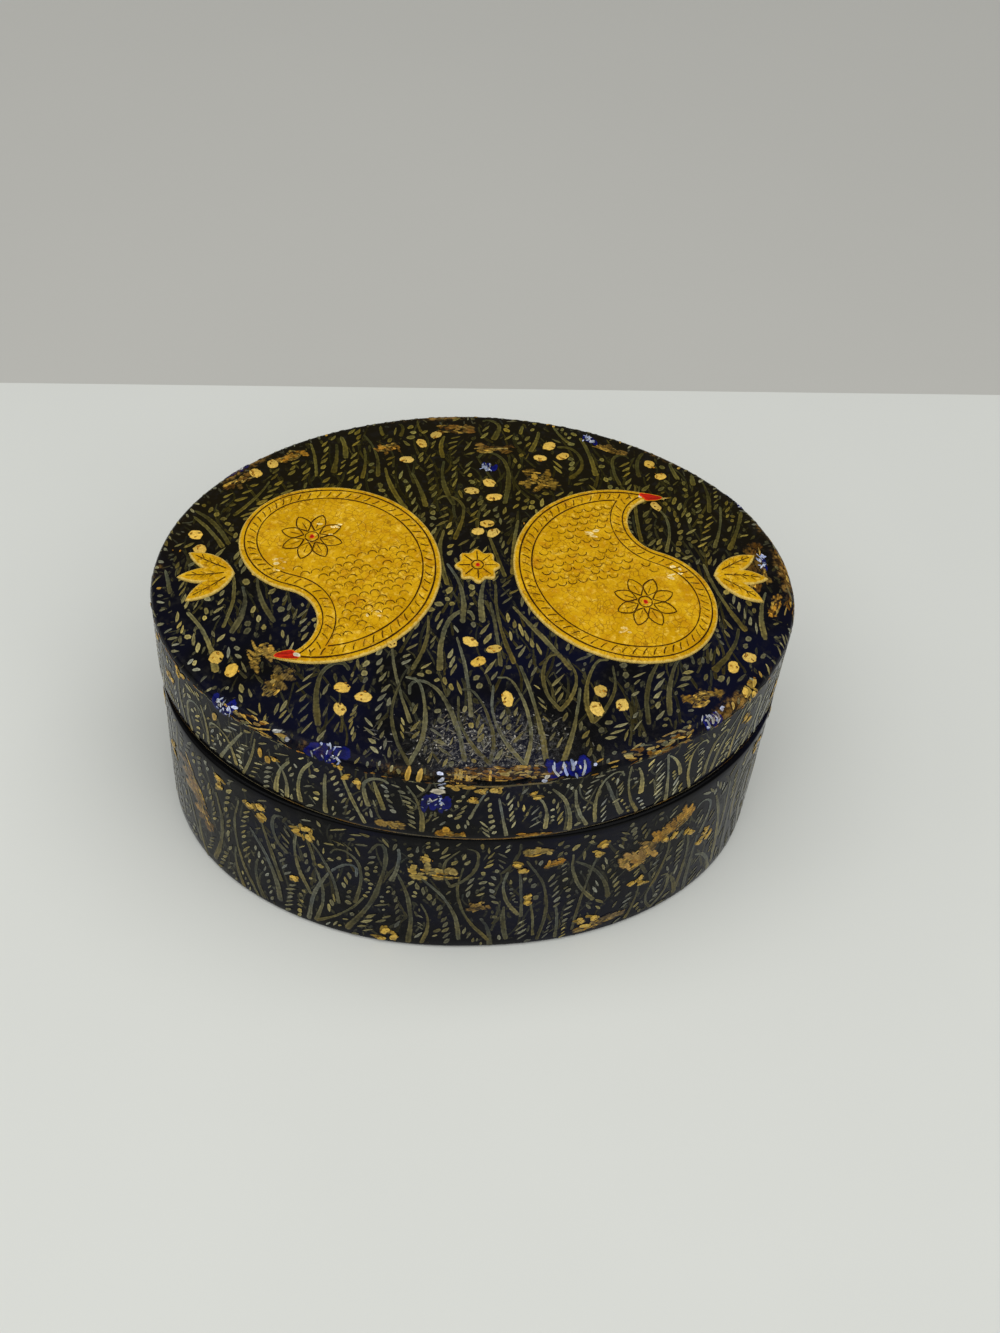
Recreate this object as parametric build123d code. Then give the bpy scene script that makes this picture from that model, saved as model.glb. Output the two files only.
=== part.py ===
from build123d import *
import math
import os

# An oval papier mache box with a lift-off lid. Millimetres, +Z up, length along X and width
# along Y. The origin is the middle of the underside. The base is a floor panel, a wall and a
# collar that stands up inside the lid. The lid is a wall and a domed panel, with raised gilt
# ornaments laid on the dome.

# Driving dimensions of the box
lid_length = 102.0          # over the lid's wall, along X
lid_width = 78.0            # over the lid's wall, along Y
base_setback = 0.3          # how far the base's wall stands in from the lid's at the ends and sides
base_fullness = 2.12        # how square the base's outline is: 2 is an ellipse, more is fuller
rim_height = 31.4           # from the underside to the rim that the lid rests on
floor_thickness = 2.4       # floor panel
lid_wall_height = 13.9      # lid's wall, from its lower edge to the panel on it
wall_thickness = 2.2        # lid's wall of pasted paper
panel_thickness = 2.4       # domed panel, in its middle
panel_edge_height = 1.6     # upright edge of the domed panel
dome_rise = 3.4             # from the panel's edge to the top of the dome

# Collar: a ring glued inside the base that stands up inside the lid
collar_thickness = 1.2
collar_depth = 10.0         # how far it reaches down below the rim
collar_stand = 5.0          # how far it stands up above the rim
lid_clearance = 0.3         # gap all round between the collar and the lid's wall
glue_line = 0.05            # glue between two curved faces

# Edges rounded by the paper and the lacquer
rim_radius = 1.1            # base's rim, outside
floor_edge_radius = 0.8     # floor's lower edge
lid_edge_radius = 0.4       # lid's lower edge
shoulder_radius = 1.5       # domed panel's outer edge
collar_edge_radius = 0.4    # collar's upper edge, outside

# Raised gilt ornaments on the dome
relief_height = 0.5         # thickness of the raised ornaments
ornament_gap = 2.0          # bare lacquer between two neighbouring ornaments
rosette_radius = 3.6
rosette_petals = 8
petal_depth = 0.7           # how far the rosette's edge goes in between two petals
paisley_length = 37.0       # from the foot of the bulb to the crown of the back
paisley_bulb_radius = 11.5
paisley_tip_angle = 38.0    # degrees that the tip lies past the crown, about the back's centre
paisley_neck_angle = 32.0   # degrees that the curl starts past the bulb's crown
paisley_turn = 14.0         # degrees that each paisley leans
leaf_length = 9.0
leaf_width = 3.2
leaf_spread = 34.0          # degrees between two leaves of a spray

# Outlines and heights that follow from them
lid_half_length = lid_length / 2
lid_half_width = lid_width / 2
base_half_length = lid_half_length - base_setback
base_half_width = lid_half_width - base_setback
lid_bore_half_length = lid_half_length - wall_thickness
lid_bore_half_width = lid_half_width - wall_thickness
collar_half_length = lid_bore_half_length - lid_clearance
collar_half_width = lid_bore_half_width - lid_clearance
panel_height = rim_height + lid_wall_height
paisley_offset = rosette_radius + ornament_gap + paisley_length / 2
leaf_foot = paisley_offset + paisley_bulb_radius + ornament_gap
outline_steps = 32          # points along the base's outline


def ellipse_prism(half_length, half_width, low, high):
    """An upright prism on an ellipse, from one height to another."""
    return Pos(0, 0, low) * extrude(Ellipse(half_length, half_width), high - low)


def base_prism(low, high):
    """An upright prism on the base's outline, which is a little fuller than an ellipse."""
    points = []
    for step in range(outline_steps):
        turn = 2 * math.pi * step / outline_steps
        along = math.copysign(abs(math.cos(turn)) ** (2 / base_fullness), math.cos(turn))
        across = math.copysign(abs(math.sin(turn)) ** (2 / base_fullness), math.sin(turn))
        points.append((base_half_length * along, base_half_width * across))
    return Pos(0, 0, low) * extrude(make_face(Spline(*points, periodic=True)), high - low)


def round_edge(solid, height, radius):
    """Round the outermost edge of a solid at one height."""
    level = solid.edges().filter_by(lambda edge: abs(edge.center().Z - height) < 0.001)
    return fillet(level.sort_by(SortBy.LENGTH)[-1], radius)


def base_floor():
    """The flat oval panel that the box stands on."""
    return round_edge(base_prism(0, floor_thickness), 0, floor_edge_radius)


def base_wall():
    """The base's upright wall, glued to the floor, with a rounded rim."""
    wall = base_prism(floor_thickness, rim_height)
    hollow = ellipse_prism(
        collar_half_length + glue_line, collar_half_width + glue_line, floor_thickness, rim_height
    )
    return round_edge(wall, rim_height, rim_radius) - hollow


def collar():
    """The thin ring inside the base that keeps the lid in place."""
    foot = rim_height - collar_depth
    head = rim_height + collar_stand
    ring = round_edge(
        ellipse_prism(collar_half_length, collar_half_width, foot, head), head, collar_edge_radius
    )
    return ring - ellipse_prism(
        collar_half_length - collar_thickness, collar_half_width - collar_thickness, foot, head
    )


def lid_wall():
    """The lid's upright wall, which rests on the base's rim."""
    wall = ellipse_prism(lid_half_length, lid_half_width, rim_height, panel_height)
    bore = ellipse_prism(lid_bore_half_length, lid_bore_half_width, rim_height, panel_height)
    return round_edge(wall, rim_height, lid_edge_radius) - bore


def dome(reach, edge, rise):
    """A round domed disc of a given reach, its edge upright and its top an arc of a circle."""
    radius = (reach**2 + rise**2) / (2 * rise)
    middle = reach / 2
    height = edge + rise - radius + math.sqrt(radius**2 - middle**2)
    outline = [
        Line((0, 0), (reach, 0)),
        Line((reach, 0), (reach, edge)),
        ThreePointArc((reach, edge), (middle, height), (0, edge + rise)),
        Line((0, edge + rise), (0, 0)),
    ]
    return revolve(Plane.XZ * make_face(outline), Axis.Z, 360)


def to_oval(disc):
    """Press a round disc into the lid's oval and lift it on to the lid's wall."""
    return Pos(0, 0, panel_height) * scale(disc, by=(1, lid_width / lid_length, 1))


def lid_top():
    """The domed oval panel of the lid: a flat rim glued to the wall, hollow underneath."""
    disc = dome(lid_half_length, panel_edge_height, dome_rise)
    disc = round_edge(disc, panel_edge_height, shoulder_radius)
    hollow_rise = panel_edge_height + dome_rise - panel_thickness
    hollow_radius = (lid_bore_half_length**2 + hollow_rise**2) / (2 * hollow_rise)
    ball = Pos(0, 0, hollow_rise - hollow_radius) * Sphere(hollow_radius)
    return to_oval(disc - ball)


def on_dome(outline):
    """An ornament of a flat outline, laid on the dome."""
    block_height = panel_edge_height + dome_rise + 2 * relief_height
    block = Pos(0, 0, panel_height) * extrude(outline, block_height, dir=(0, 0, 1))
    over = to_oval(dome(lid_half_length, panel_edge_height + relief_height, dome_rise))
    under = to_oval(dome(lid_half_length, panel_edge_height + glue_line, dome_rise))
    return (block & over) - under


def paisley(side):
    """A drop with a curled tip: its back, the hollow of its curl and its bulb are three arcs."""
    back_radius = paisley_length / 2
    tip_turn = math.radians(paisley_tip_angle)
    neck_turn = math.radians(paisley_neck_angle)
    foot = Vector(0, 0)
    tip = Vector(back_radius * math.sin(tip_turn), back_radius * (1 + math.cos(tip_turn)))
    neck = Vector(math.sin(neck_turn), 1 + math.cos(neck_turn)) * paisley_bulb_radius
    outline = [
        ThreePointArc(foot, (-back_radius, back_radius), tip),
        TangentArc(neck, tip, tangent=(-math.cos(neck_turn), math.sin(neck_turn))),
        ThreePointArc(neck, (paisley_bulb_radius, paisley_bulb_radius), foot),
    ]
    drop = Rot(0, 0, paisley_turn) * Pos(0, -back_radius) * make_face(outline)
    return on_dome(Rot(0, 0, 90 - 90 * side) * Pos(paisley_offset, 0) * drop)


def rosette():
    """The small flower between the paisleys."""
    points = []
    for step in range(6 * rosette_petals):
        turn = 2 * math.pi * step / (6 * rosette_petals)
        reach = rosette_radius - petal_depth * (1 - math.cos(rosette_petals * turn)) / 2
        points.append((reach * math.cos(turn), reach * math.sin(turn)))
    return on_dome(make_face(Spline(*points, periodic=True)))


def leaves(side):
    """A spray of three pointed leaves, from the middle outwards."""
    half = leaf_width / 2
    blade = make_face(
        [
            ThreePointArc((0, 0), (leaf_length / 2, half), (leaf_length, 0)),
            ThreePointArc((leaf_length, 0), (leaf_length / 2, -half), (0, 0)),
        ]
    )
    spray = [Rot(0, 0, lean) * blade for lean in (-leaf_spread, 0, leaf_spread)]
    outline = spray[0] + spray[1] + spray[2]
    return on_dome(Rot(0, 0, 90 - 90 * side) * Pos(leaf_foot, 0) * outline)


pieces = {
    "base_floor": base_floor(),
    "base_wall": base_wall(),
    "collar": collar(),
    "lid_wall": lid_wall(),
    "lid_top": lid_top(),
    "gold_paisley_left": paisley(-1),
    "gold_paisley_right": paisley(1),
    "gold_rosette": rosette(),
    "gold_leaves_left": leaves(-1),
    "gold_leaves_right": leaves(1),
}

os.makedirs("parts", exist_ok=True)
for name, piece in pieces.items():
    export_step(piece, f"parts/{name}.step")
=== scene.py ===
import math

import bmesh
import bpy
import numpy as np
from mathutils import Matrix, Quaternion, Vector


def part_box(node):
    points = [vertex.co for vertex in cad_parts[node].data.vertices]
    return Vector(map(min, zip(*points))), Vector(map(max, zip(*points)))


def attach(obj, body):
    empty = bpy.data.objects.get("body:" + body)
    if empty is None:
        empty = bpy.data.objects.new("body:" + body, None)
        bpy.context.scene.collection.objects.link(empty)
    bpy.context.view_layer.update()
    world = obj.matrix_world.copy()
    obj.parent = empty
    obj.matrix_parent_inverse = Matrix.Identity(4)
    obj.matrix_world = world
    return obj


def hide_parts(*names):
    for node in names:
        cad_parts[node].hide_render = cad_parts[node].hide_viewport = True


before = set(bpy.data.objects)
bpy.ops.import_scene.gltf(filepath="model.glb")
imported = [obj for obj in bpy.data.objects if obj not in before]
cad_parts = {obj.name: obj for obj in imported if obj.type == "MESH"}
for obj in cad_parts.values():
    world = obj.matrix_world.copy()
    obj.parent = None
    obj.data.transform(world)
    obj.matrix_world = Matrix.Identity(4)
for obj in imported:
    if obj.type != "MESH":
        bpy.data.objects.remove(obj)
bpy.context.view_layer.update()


# ---------------------------------------------------------------------------------------------
# Where the box stands: a sheet of white paper on a pale grey table, under soft overhead light.
# The camera is at arm's length in front, looking down. None of this is part of the box.
# ---------------------------------------------------------------------------------------------
camera = bpy.data.objects.new("camera", bpy.data.cameras.new("camera"))
bpy.context.scene.collection.objects.link(camera)
bpy.context.scene.camera = camera
camera.data.lens = 48.09
camera.data.sensor_width = 36.0
camera.data.clip_start = 0.01
camera.location = (-0.0192, -0.1890, 0.2535)
LOOK_RIGHT, LOOK_DOWN, TILT = 0.1276, 0.8740, 0.0975    # radians from straight ahead, along +Y
ahead = Vector((math.sin(LOOK_RIGHT) * math.cos(LOOK_DOWN), math.cos(LOOK_RIGHT) * math.cos(LOOK_DOWN),
                -math.sin(LOOK_DOWN)))
camera.rotation_mode = "QUATERNION"
camera.rotation_quaternion = ahead.to_track_quat("-Z", "Y") @ Quaternion((0, 0, 1), TILT)


class Look:
    """A material as it is made up, node by node. An input is a value or another node's output."""

    def __init__(self, name):
        self.material = bpy.data.materials.new(name)
        self.material.use_nodes = True
        self.tree = self.material.node_tree
        self.shader = self.tree.nodes["Principled BSDF"]

    def give(self, socket, value):
        if isinstance(value, bpy.types.NodeSocket):
            self.tree.links.new(value, socket)
        else:
            socket.default_value = value

    def add(self, kind, inputs, **settings):
        """Add a node, its settings first and then its inputs by name or number."""
        made = self.tree.nodes.new(kind)
        for name, value in settings.items():
            setattr(made, name, value)
        for name, value in inputs.items():
            self.give(made.inputs[name], value)
        return made.outputs

    def done(self, colour, roughness, specular=0.5):
        """Give the shader its colour, and the levels that are the same all over."""
        self.give(self.shader.inputs["Base Color"], colour)
        self.shader.inputs["Roughness"].default_value = roughness
        self.shader.inputs["Specular IOR Level"].default_value = specular
        return self.material


def flat_stage(name, low, high, level, colour, grain):
    """A level sheet between two corners, with a little grain in its colour."""
    bpy.ops.mesh.primitive_plane_add(size=1, location=(0, 0, 0))
    sheet = bpy.context.object
    sheet.name = name
    for vertex in sheet.data.vertices:
        vertex.co = (high[0] if vertex.co.x > 0 else low[0], high[1] if vertex.co.y > 0 else low[1], level)
    look = Look(name)
    place = look.add("ShaderNodeTexCoord", {})["Object"]
    speckle = look.add("ShaderNodeTexNoise", {"Vector": place, "Scale": grain, "Detail": 4.0})["Fac"]
    shade = look.add("ShaderNodeMapRange", {"Value": speckle, "To Min": 0.97, "To Max": 1.03})["Result"]
    tint = look.add("ShaderNodeVectorMath", {0: colour, 1: shade}, operation="MULTIPLY")["Vector"]
    sheet.data.materials.append(look.done(tint, 0.75))


flat_stage("table", (-2.0, -2.0), (2.0, 2.0), -0.0006, (0.455, 0.450, 0.415), 9.0)
flat_stage("paper", (-0.6, -0.6), (0.6, 0.0985), -0.0001, (0.62, 0.63, 0.59), 14.0)

world = bpy.data.worlds.new("room")
bpy.context.scene.world = world
world.use_nodes = True
world.node_tree.nodes["Background"].inputs["Color"].default_value = (0.93, 0.96, 1.0, 1)
world.node_tree.nodes["Background"].inputs["Strength"].default_value = 0.16
for name, place, size, power in [
    ("lamp_over", (0.02, -0.32, 0.95), 1.40, 14.6),
    ("lamp_left", (-0.75, -0.05, 0.55), 0.60, 1.0),
]:
    lamp = bpy.data.lights.new(name, "AREA")
    lamp.size = size
    lamp.energy = power
    lamp_object = bpy.data.objects.new(name, lamp)
    bpy.context.scene.collection.objects.link(lamp_object)
    lamp_object.location = place
    lamp_object.rotation_mode = "QUATERNION"
    lamp_object.rotation_quaternion = (-Vector(place)).to_track_quat("-Z", "Y")
bpy.context.scene.view_settings.view_transform = "Standard"


# ---------------------------------------------------------------------------------------------
# Base floor: the flat oval panel of pasted paper that the box stands on. Its edge is sanded
# round, and it is painted and lacquered together with the wall that is glued on it.
# ---------------------------------------------------------------------------------------------
MM = 0.001                  # all sizes are given in mm, and the meshes are in metres
ROOM = 0.30                 # what the hand-made unevenness may take inside the true size
BASE_FULLNESS = 2.12        # how square the base's outline is: 2 is an ellipse
EDGE_STEPS = 256            # facets round the box
THICK = 1.05                # paint of at least this strength is so thick that it doesn't pool or fade


class Track:
    """The oval line round a side of the box, from the middle of the back, in millimetres."""

    def __init__(self, half_length, half_width, fullness=2.0, swell=lambda turn, up: 0.0):
        turn = np.linspace(0.5 * np.pi, 2.5 * np.pi, 4097)
        c, s = np.cos(turn), np.sin(turn)
        self.x = half_length * np.sign(c) * np.abs(c) ** (2 / fullness)
        self.y = half_width * np.sign(s) * np.abs(s) ** (2 / fullness)
        dx, dy = np.gradient(self.x), np.gradient(self.y)
        dx[[0, -1]], dy[[0, -1]] = -1.0, 0.0
        self.nx, self.ny = dy / np.hypot(dx, dy), -dx / np.hypot(dx, dy)
        self.along = np.concatenate([[0], np.cumsum(np.hypot(np.diff(self.x), np.diff(self.y)))])
        self.length = self.along[-1]
        self.swell = swell

    def at(self, along):
        """The line's x and y at a way round it, its direction outwards there, and the turn so far."""
        u = np.mod(np.asarray(along, float), self.length)
        found = (np.interp(u, self.along, line) for line in (self.x, self.y, self.nx, self.ny))
        return *found, 2 * np.pi * u / self.length

    def __call__(self, along, up, lift=0.0):
        """Points on the side, at a way round it, a height and a height above the surface."""
        x, y, nx, ny, turn = self.at(along)
        out = lift + self.swell(turn, up)
        return np.stack([x + out * nx, y + out * ny, up + 0 * x], -1) * MM


def base_swell(turn, up):
    """How the base's side wanders in and out from where it should be."""
    return (0.12 * np.sin(2 * turn + 0.6) + 0.07 * np.sin(5 * turn + 0.11 * up)
            + 0.04 * np.sin(9 * turn + 1.3 - 0.2 * up))


def start(name):
    """Name the primitive that was just added, and open it in edit mode with all of it selected."""
    piece = bpy.context.object
    piece.name = name
    piece.data.name = name
    bpy.ops.object.mode_set(mode="EDIT")
    bpy.ops.mesh.select_all(action="SELECT")
    return piece


def pick(piece, kind, test):
    """In edit mode, select the vertices, edges or faces whose lowest and highest corners pass a test."""
    bpy.ops.mesh.select_mode(type=kind)
    bpy.ops.mesh.select_all(action="DESELECT")
    mesh = bmesh.from_edit_mesh(piece.data)
    for part in {"VERT": mesh.verts, "EDGE": mesh.edges, "FACE": mesh.faces}[kind]:
        corners = [v.co for v in getattr(part, "verts", [part])]
        low = Vector([min(c[axis] for c in corners) for axis in range(3)])
        high = Vector([max(c[axis] for c in corners) for axis in range(3)])
        part.select_set(bool(test(low, high)))
    mesh.select_flush_mode()
    bmesh.update_edit_mesh(piece.data)


def places(piece):
    """A mesh's vertices as rows of x, y, z in metres."""
    found = np.empty(3 * len(piece.data.vertices))
    piece.data.vertices.foreach_get("co", found)
    return found.reshape(-1, 3)


def move_to(piece, points):
    piece.data.vertices.foreach_set("co", np.asarray(points, np.float32).ravel())
    piece.data.update()


def note(mesh, name, values):
    """Note a colour (four numbers) or a vector (three) at each vertex, for the material to read."""
    kind, key = ("FLOAT_COLOR", "color") if values.shape[1] == 4 else ("FLOAT_VECTOR", "vector")
    mesh.attributes.new(name, kind, "POINT").data.foreach_set(key, values.ravel())


def finish(piece, body, slot, material, *nodes):
    """Smooth a finished piece, give it its finish, and say what it rides on and stands for."""
    if bpy.context.mode != "OBJECT":
        bpy.ops.object.mode_set(mode="OBJECT")
    piece.data.materials.clear()
    piece.data.materials.append(material)
    if "paint" not in piece.data.attributes:
        note(piece.data, "paint", np.zeros((len(piece.data.vertices), 4)))
    bpy.ops.object.select_all(action="DESELECT")
    piece.select_set(True)
    bpy.context.view_layer.objects.active = piece
    bpy.ops.object.shade_smooth_by_angle(angle=math.radians(50))
    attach(piece, body)
    if nodes:
        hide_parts(*nodes)


class Coating(Look):
    """Ground, brush strokes and varnish, with patterns by a point's place on the piece, in mm."""

    def __init__(self, name):
        super().__init__(name)
        on_piece = self.add("ShaderNodeTexCoord", {})["Object"]
        self.place = self.vector("MULTIPLY", on_piece, (1000, 1000, 1000))

    def maths(self, how, *values):
        return self.add("ShaderNodeMath", dict(enumerate(values)), operation=how)[0]

    def times(self, first, second):
        return self.maths("MULTIPLY", first, second)

    def vector(self, how, *values):
        return self.add("ShaderNodeVectorMath", dict(enumerate(values)), operation=how)["Vector"]

    def length(self, vector):
        return self.add("ShaderNodeVectorMath", {0: vector}, operation="LENGTH")["Value"]

    def split(self, vector):
        axes = self.add("ShaderNodeSeparateXYZ", {"Vector": vector})
        return axes["X"], axes["Y"], axes["Z"]

    def mix(self, share, first, second):
        """A mix of two colours."""
        first, second = (value if isinstance(value, bpy.types.NodeSocket) else (*value, 1)
                         for value in (first, second))
        return self.add("ShaderNodeMix", {0: share, 6: first, 7: second}, data_type="RGBA")[2]

    def ramp(self, value, low, high, top=1.0):
        """0 below low and the top value above high, in a straight line between."""
        return self.add("ShaderNodeMapRange",
                        {"Value": value, "From Min": low, "From Max": high, "To Max": top})["Result"]

    def between(self, value, low, high):
        """0 below low and 1 above high, or the other way about, with a smooth step between."""
        return self.add("ShaderNodeMapRange", {"Value": value, "From Min": low, "From Max": high},
                        interpolation_type="SMOOTHSTEP")["Result"]

    def noise(self, scale, detail, low=0.0, high=1.0, roughness=0.5, place=None):
        """Patches, scale of them a mm, that go from 0 to 1 as the noise goes from low to high."""
        made = self.add("ShaderNodeTexNoise", {"Vector": self.place if place is None else place,
                                               "Scale": scale, "Detail": detail, "Roughness": roughness})
        return self.ramp(made["Fac"], low, high)

    def near_to(self, spot, reach, squeeze=(1, 1, 1)):
        """1 at a spot and 0 from a reach away, both in mm."""
        off = self.vector("MULTIPLY", self.vector("SUBTRACT", self.place, spot), squeeze)
        return self.between(self.length(off), reach, 0.35 * reach)

    def strokes_over(self, ground):
        """The colour of a surface with brush strokes painted over its ground.

        A stroke carries its colour and strength in "paint", and in "brush" how near a point is to the
        stroke's edge, how far along the stroke it is, and how far across it."""
        paint = self.add("ShaderNodeAttribute", {}, attribute_name="paint")
        brush = self.add("ShaderNodeAttribute", {}, attribute_name="brush")
        edge, along, across = self.split(brush["Vector"])
        hairs = self.add("ShaderNodeCombineXYZ",
                         {"X": self.times(along, 0.35), "Y": self.times(across, 3.2)})
        streak = self.noise(1.0, 3.0, 0.25, 0.75, place=hairs["Vector"])
        worn = self.maths("MULTIPLY_ADD", streak, 0.40, self.times(self.noise(1.6, 3.0, 0.3, 0.7), 0.28))
        body = self.maths("SUBTRACT", 1.0, self.maths("POWER", edge, 3.0))
        cover = self.maths("ADD", self.times(body, paint["Alpha"]), self.maths("SUBTRACT", worn, 0.42))
        pooled = self.ramp(edge, 0.30, 0.72, 0.55)
        thick = self.ramp(paint["Alpha"], THICK, 1.6)
        pooled = self.maths("MULTIPLY_ADD", thick, self.maths("SUBTRACT", 0.42, pooled), pooled)
        shade = self.maths("ADD", self.maths("MULTIPLY_ADD", worn, 0.9, 0.44), pooled)
        mottle = self.maths("MULTIPLY_ADD", self.noise(3.4, 4.0, 0.3, 0.62), 0.34, 0.74)
        coloured = self.add("ShaderNodeVectorMath", {0: paint["Color"], "Scale": self.times(shade, mottle)},
                            operation="SCALE")
        return self.mix(self.between(cover, 0.16, 0.62), ground, coloured["Vector"])

    def varnish(self, coarse, fine, depth, gloss):
        """Hand-brushed clear varnish: uneven over the paste and paint under it, worn a little dull."""
        bumps = self.maths("MULTIPLY_ADD", self.noise(0.35, 3.0), coarse,
                           self.times(self.noise(3.5, 3.0), fine))
        bump = self.add("ShaderNodeBump", {"Height": bumps, "Strength": 0.5, "Distance": depth})["Normal"]
        self.give(self.shader.inputs["Normal"], bump)
        self.give(self.shader.inputs["Coat Normal"], bump)
        self.shader.inputs["Coat Weight"].default_value = 1.0
        self.shader.inputs["Coat Roughness"].default_value = gloss
        self.shader.inputs["Coat IOR"].default_value = 1.12


SEAM = 31.4                 # height at which the lid rests on the base's rim
OVAL = (1, 1.3077, 0)       # makes the oval a circle, as seen from above
RUBBED_SPOTS = (            # where hands have rubbed the shoulder most: the spot, its reach and how much
    ((37.5, -25.5, 46.5), 7.0, 0.6),
    ((50.0, 2.0, 46.5), 8.0, 0.6),
    ((-38.0, 26.0, 46.5), 8.0, 0.7),
    ((-4.0, 38.5, 46.5), 6.0, 0.7),
    ((33.0, 29.0, 46.5), 7.0, 0.5),
)


def painted_lacquer(name):
    """Near black ground, the strokes painted on it, where both are rubbed down to the brown paste,
    and the clear varnish over all. The rim that the lid rests on is plain black."""
    look = Coating(name)
    x, y, z = look.split(look.place)
    ground = look.mix(look.between(y, -10.0, 18.0), (0.0036, 0.0034, 0.0036), (0.0085, 0.0064, 0.0026))
    navy = look.times(look.noise(0.07, 3.0, 0.40, 0.62), look.between(y, 12.0, -16.0))
    ground = look.mix(navy, ground, (0.0034, 0.0038, 0.0120))
    ground = look.mix(look.noise(0.9, 4.0, 0.52, 0.88), ground, (0.014, 0.013, 0.012))
    colour = look.strokes_over(ground)

    # the shoulder's paint is rubbed through to the paste, but less where a stroke is thick
    strength = look.add("ShaderNodeAttribute", {}, attribute_name="paint")["Alpha"]
    kept = look.maths("MULTIPLY_ADD", look.between(strength, 0.3, 0.95), -0.8, 1.0)
    fibres = look.noise(1.3, 6.0, 0.36, 0.60, 0.75)
    amount = look.times(look.noise(0.10, 3.0, 0.46, 0.70), 0.45)
    for spot, reach, most in RUBBED_SPOTS:
        amount = look.maths("MAXIMUM", amount, look.times(look.near_to(spot, reach), most))
    from_middle = look.length(look.vector("MULTIPLY", look.place, OVAL))
    shoulder = look.times(look.between(z, 44.9, 46.1), look.between(from_middle, 46.8, 49.8))
    rubbed = look.times(shoulder, look.times(amount, look.maths("ADD", fibres, 0.25)))
    paste = look.mix(look.noise(0.8, 4.0, 0.38, 0.62), (0.060, 0.029, 0.006), (0.33, 0.185, 0.040))
    colour = look.mix(look.times(look.between(rubbed, 0.18, 0.75), kept), colour, paste)

    # the lid's lower edge is worn pale, and the rim under it is black
    lip = look.times(look.between(z, SEAM + 0.65, SEAM + 0.35), look.between(z, SEAM, SEAM + 0.05))
    worn_lip = look.times(lip, look.maths("MULTIPLY_ADD", fibres, 0.75, 0.25))
    pale = look.mix(look.noise(0.16, 3.0, 0.48, 0.60), (0.15, 0.125, 0.070), (0.34, 0.17, 0.020))
    colour = look.mix(worn_lip, colour, pale)
    level = look.maths("MULTIPLY_ADD", look.between(x, -30.0, 15.0), 0.45, z)
    rim = look.between(level, SEAM - 0.45, SEAM - 0.2)
    rim = look.times(rim, look.between(z, SEAM + 0.03, SEAM + 0.01))
    rim = look.times(rim, look.between(x, 47.0, 36.0))
    colour = look.mix(rim, colour, (0.0022, 0.0022, 0.0024))

    # a pale grey, finely grained patch at the front of the dome: scuffed varnish with a painted highlight
    # in it
    scuff_and_highlight = look.times(look.near_to((0.2, -32.6, 48.0), 12.0, (0.8, 1.5, 1.0)),
                       look.noise(1.5, 10.0, 0.50, 0.68, 0.85))
    colour = look.mix(look.times(scuff_and_highlight, 0.65), colour, (0.22, 0.215, 0.205))
    look.varnish(0.6, 0.12, 0.00012, 0.13)
    return look.done(colour, 0.55, 0.0)


lacquer = painted_lacquer("painted_lacquer")
floor_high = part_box("base_floor")[1] / MM
base_side = Track(floor_high.x - ROOM, floor_high.y - ROOM, BASE_FULLNESS, base_swell)

bpy.ops.object.select_all(action="DESELECT")
bpy.ops.mesh.primitive_circle_add(vertices=EDGE_STEPS, fill_type="NGON")
base_floor = bpy.context.object
steps = np.arange(EDGE_STEPS) / EDGE_STEPS
move_to(base_floor, base_side(base_side.length * steps, 0.0 * steps))
start("painted_base_floor")
bpy.ops.mesh.extrude_region_move(TRANSFORM_OT_translate={"value": (0, 0, floor_high.z * MM)})
pick(base_floor, "EDGE", lambda low, high: high.z < 1e-6)
bpy.ops.mesh.bevel(offset=0.8 * MM, segments=4)
bpy.ops.mesh.select_all(action="SELECT")
bpy.ops.mesh.normals_make_consistent(inside=False)
finish(base_floor, "base", "painted_lacquer", lacquer, "base_floor")


# ---------------------------------------------------------------------------------------------
# Base wall: a strip of pasted paper wound round an oval mould, smoothed and stood on the floor
# panel. Its rim, which the lid rests on, is rounded and left plain black.
# ---------------------------------------------------------------------------------------------
RIM_RADIUS = 0.45


def wall_strip(name, length, low, high, thickness, rounded, steps_up):
    """A flat strip from x = 0 to its length, its outer face at y = 0, with one long edge rounded.

    rounded is the height, radius and facets of that edge, in mm like the other sizes."""
    bpy.ops.object.select_all(action="DESELECT")
    middle = Vector((length / 2, thickness / 2, (low + high) / 2)) * MM
    size = Vector((length, thickness, high - low)) * MM
    bpy.ops.mesh.primitive_cube_add(size=1, location=middle, scale=size)
    bpy.ops.object.transform_apply()
    strip = start(name)
    pick(strip, "FACE", lambda a, b: b.x - a.x < 1e-6)
    bpy.ops.mesh.delete(type="FACE")
    level, radius, facets = rounded
    pick(strip, "EDGE",
         lambda a, b: b.x - a.x > 0.9 * size.x and b.y < 1e-6 and abs(a.z - level * MM) < 1e-6)
    bpy.ops.mesh.bevel(offset=radius * MM, segments=facets)
    for _ in range(2):          # 16 parts, and each again in 16, make EDGE_STEPS
        pick(strip, "EDGE", lambda a, b: b.x - a.x > 1e-6 and b.y - a.y < 1e-7 and b.z - a.z < 1e-7)
        bpy.ops.mesh.subdivide(number_cuts=15)
    pick(strip, "EDGE", lambda a, b: b.z - a.z > 0.7 * size.z)
    bpy.ops.mesh.subdivide(number_cuts=steps_up)
    return strip


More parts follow.
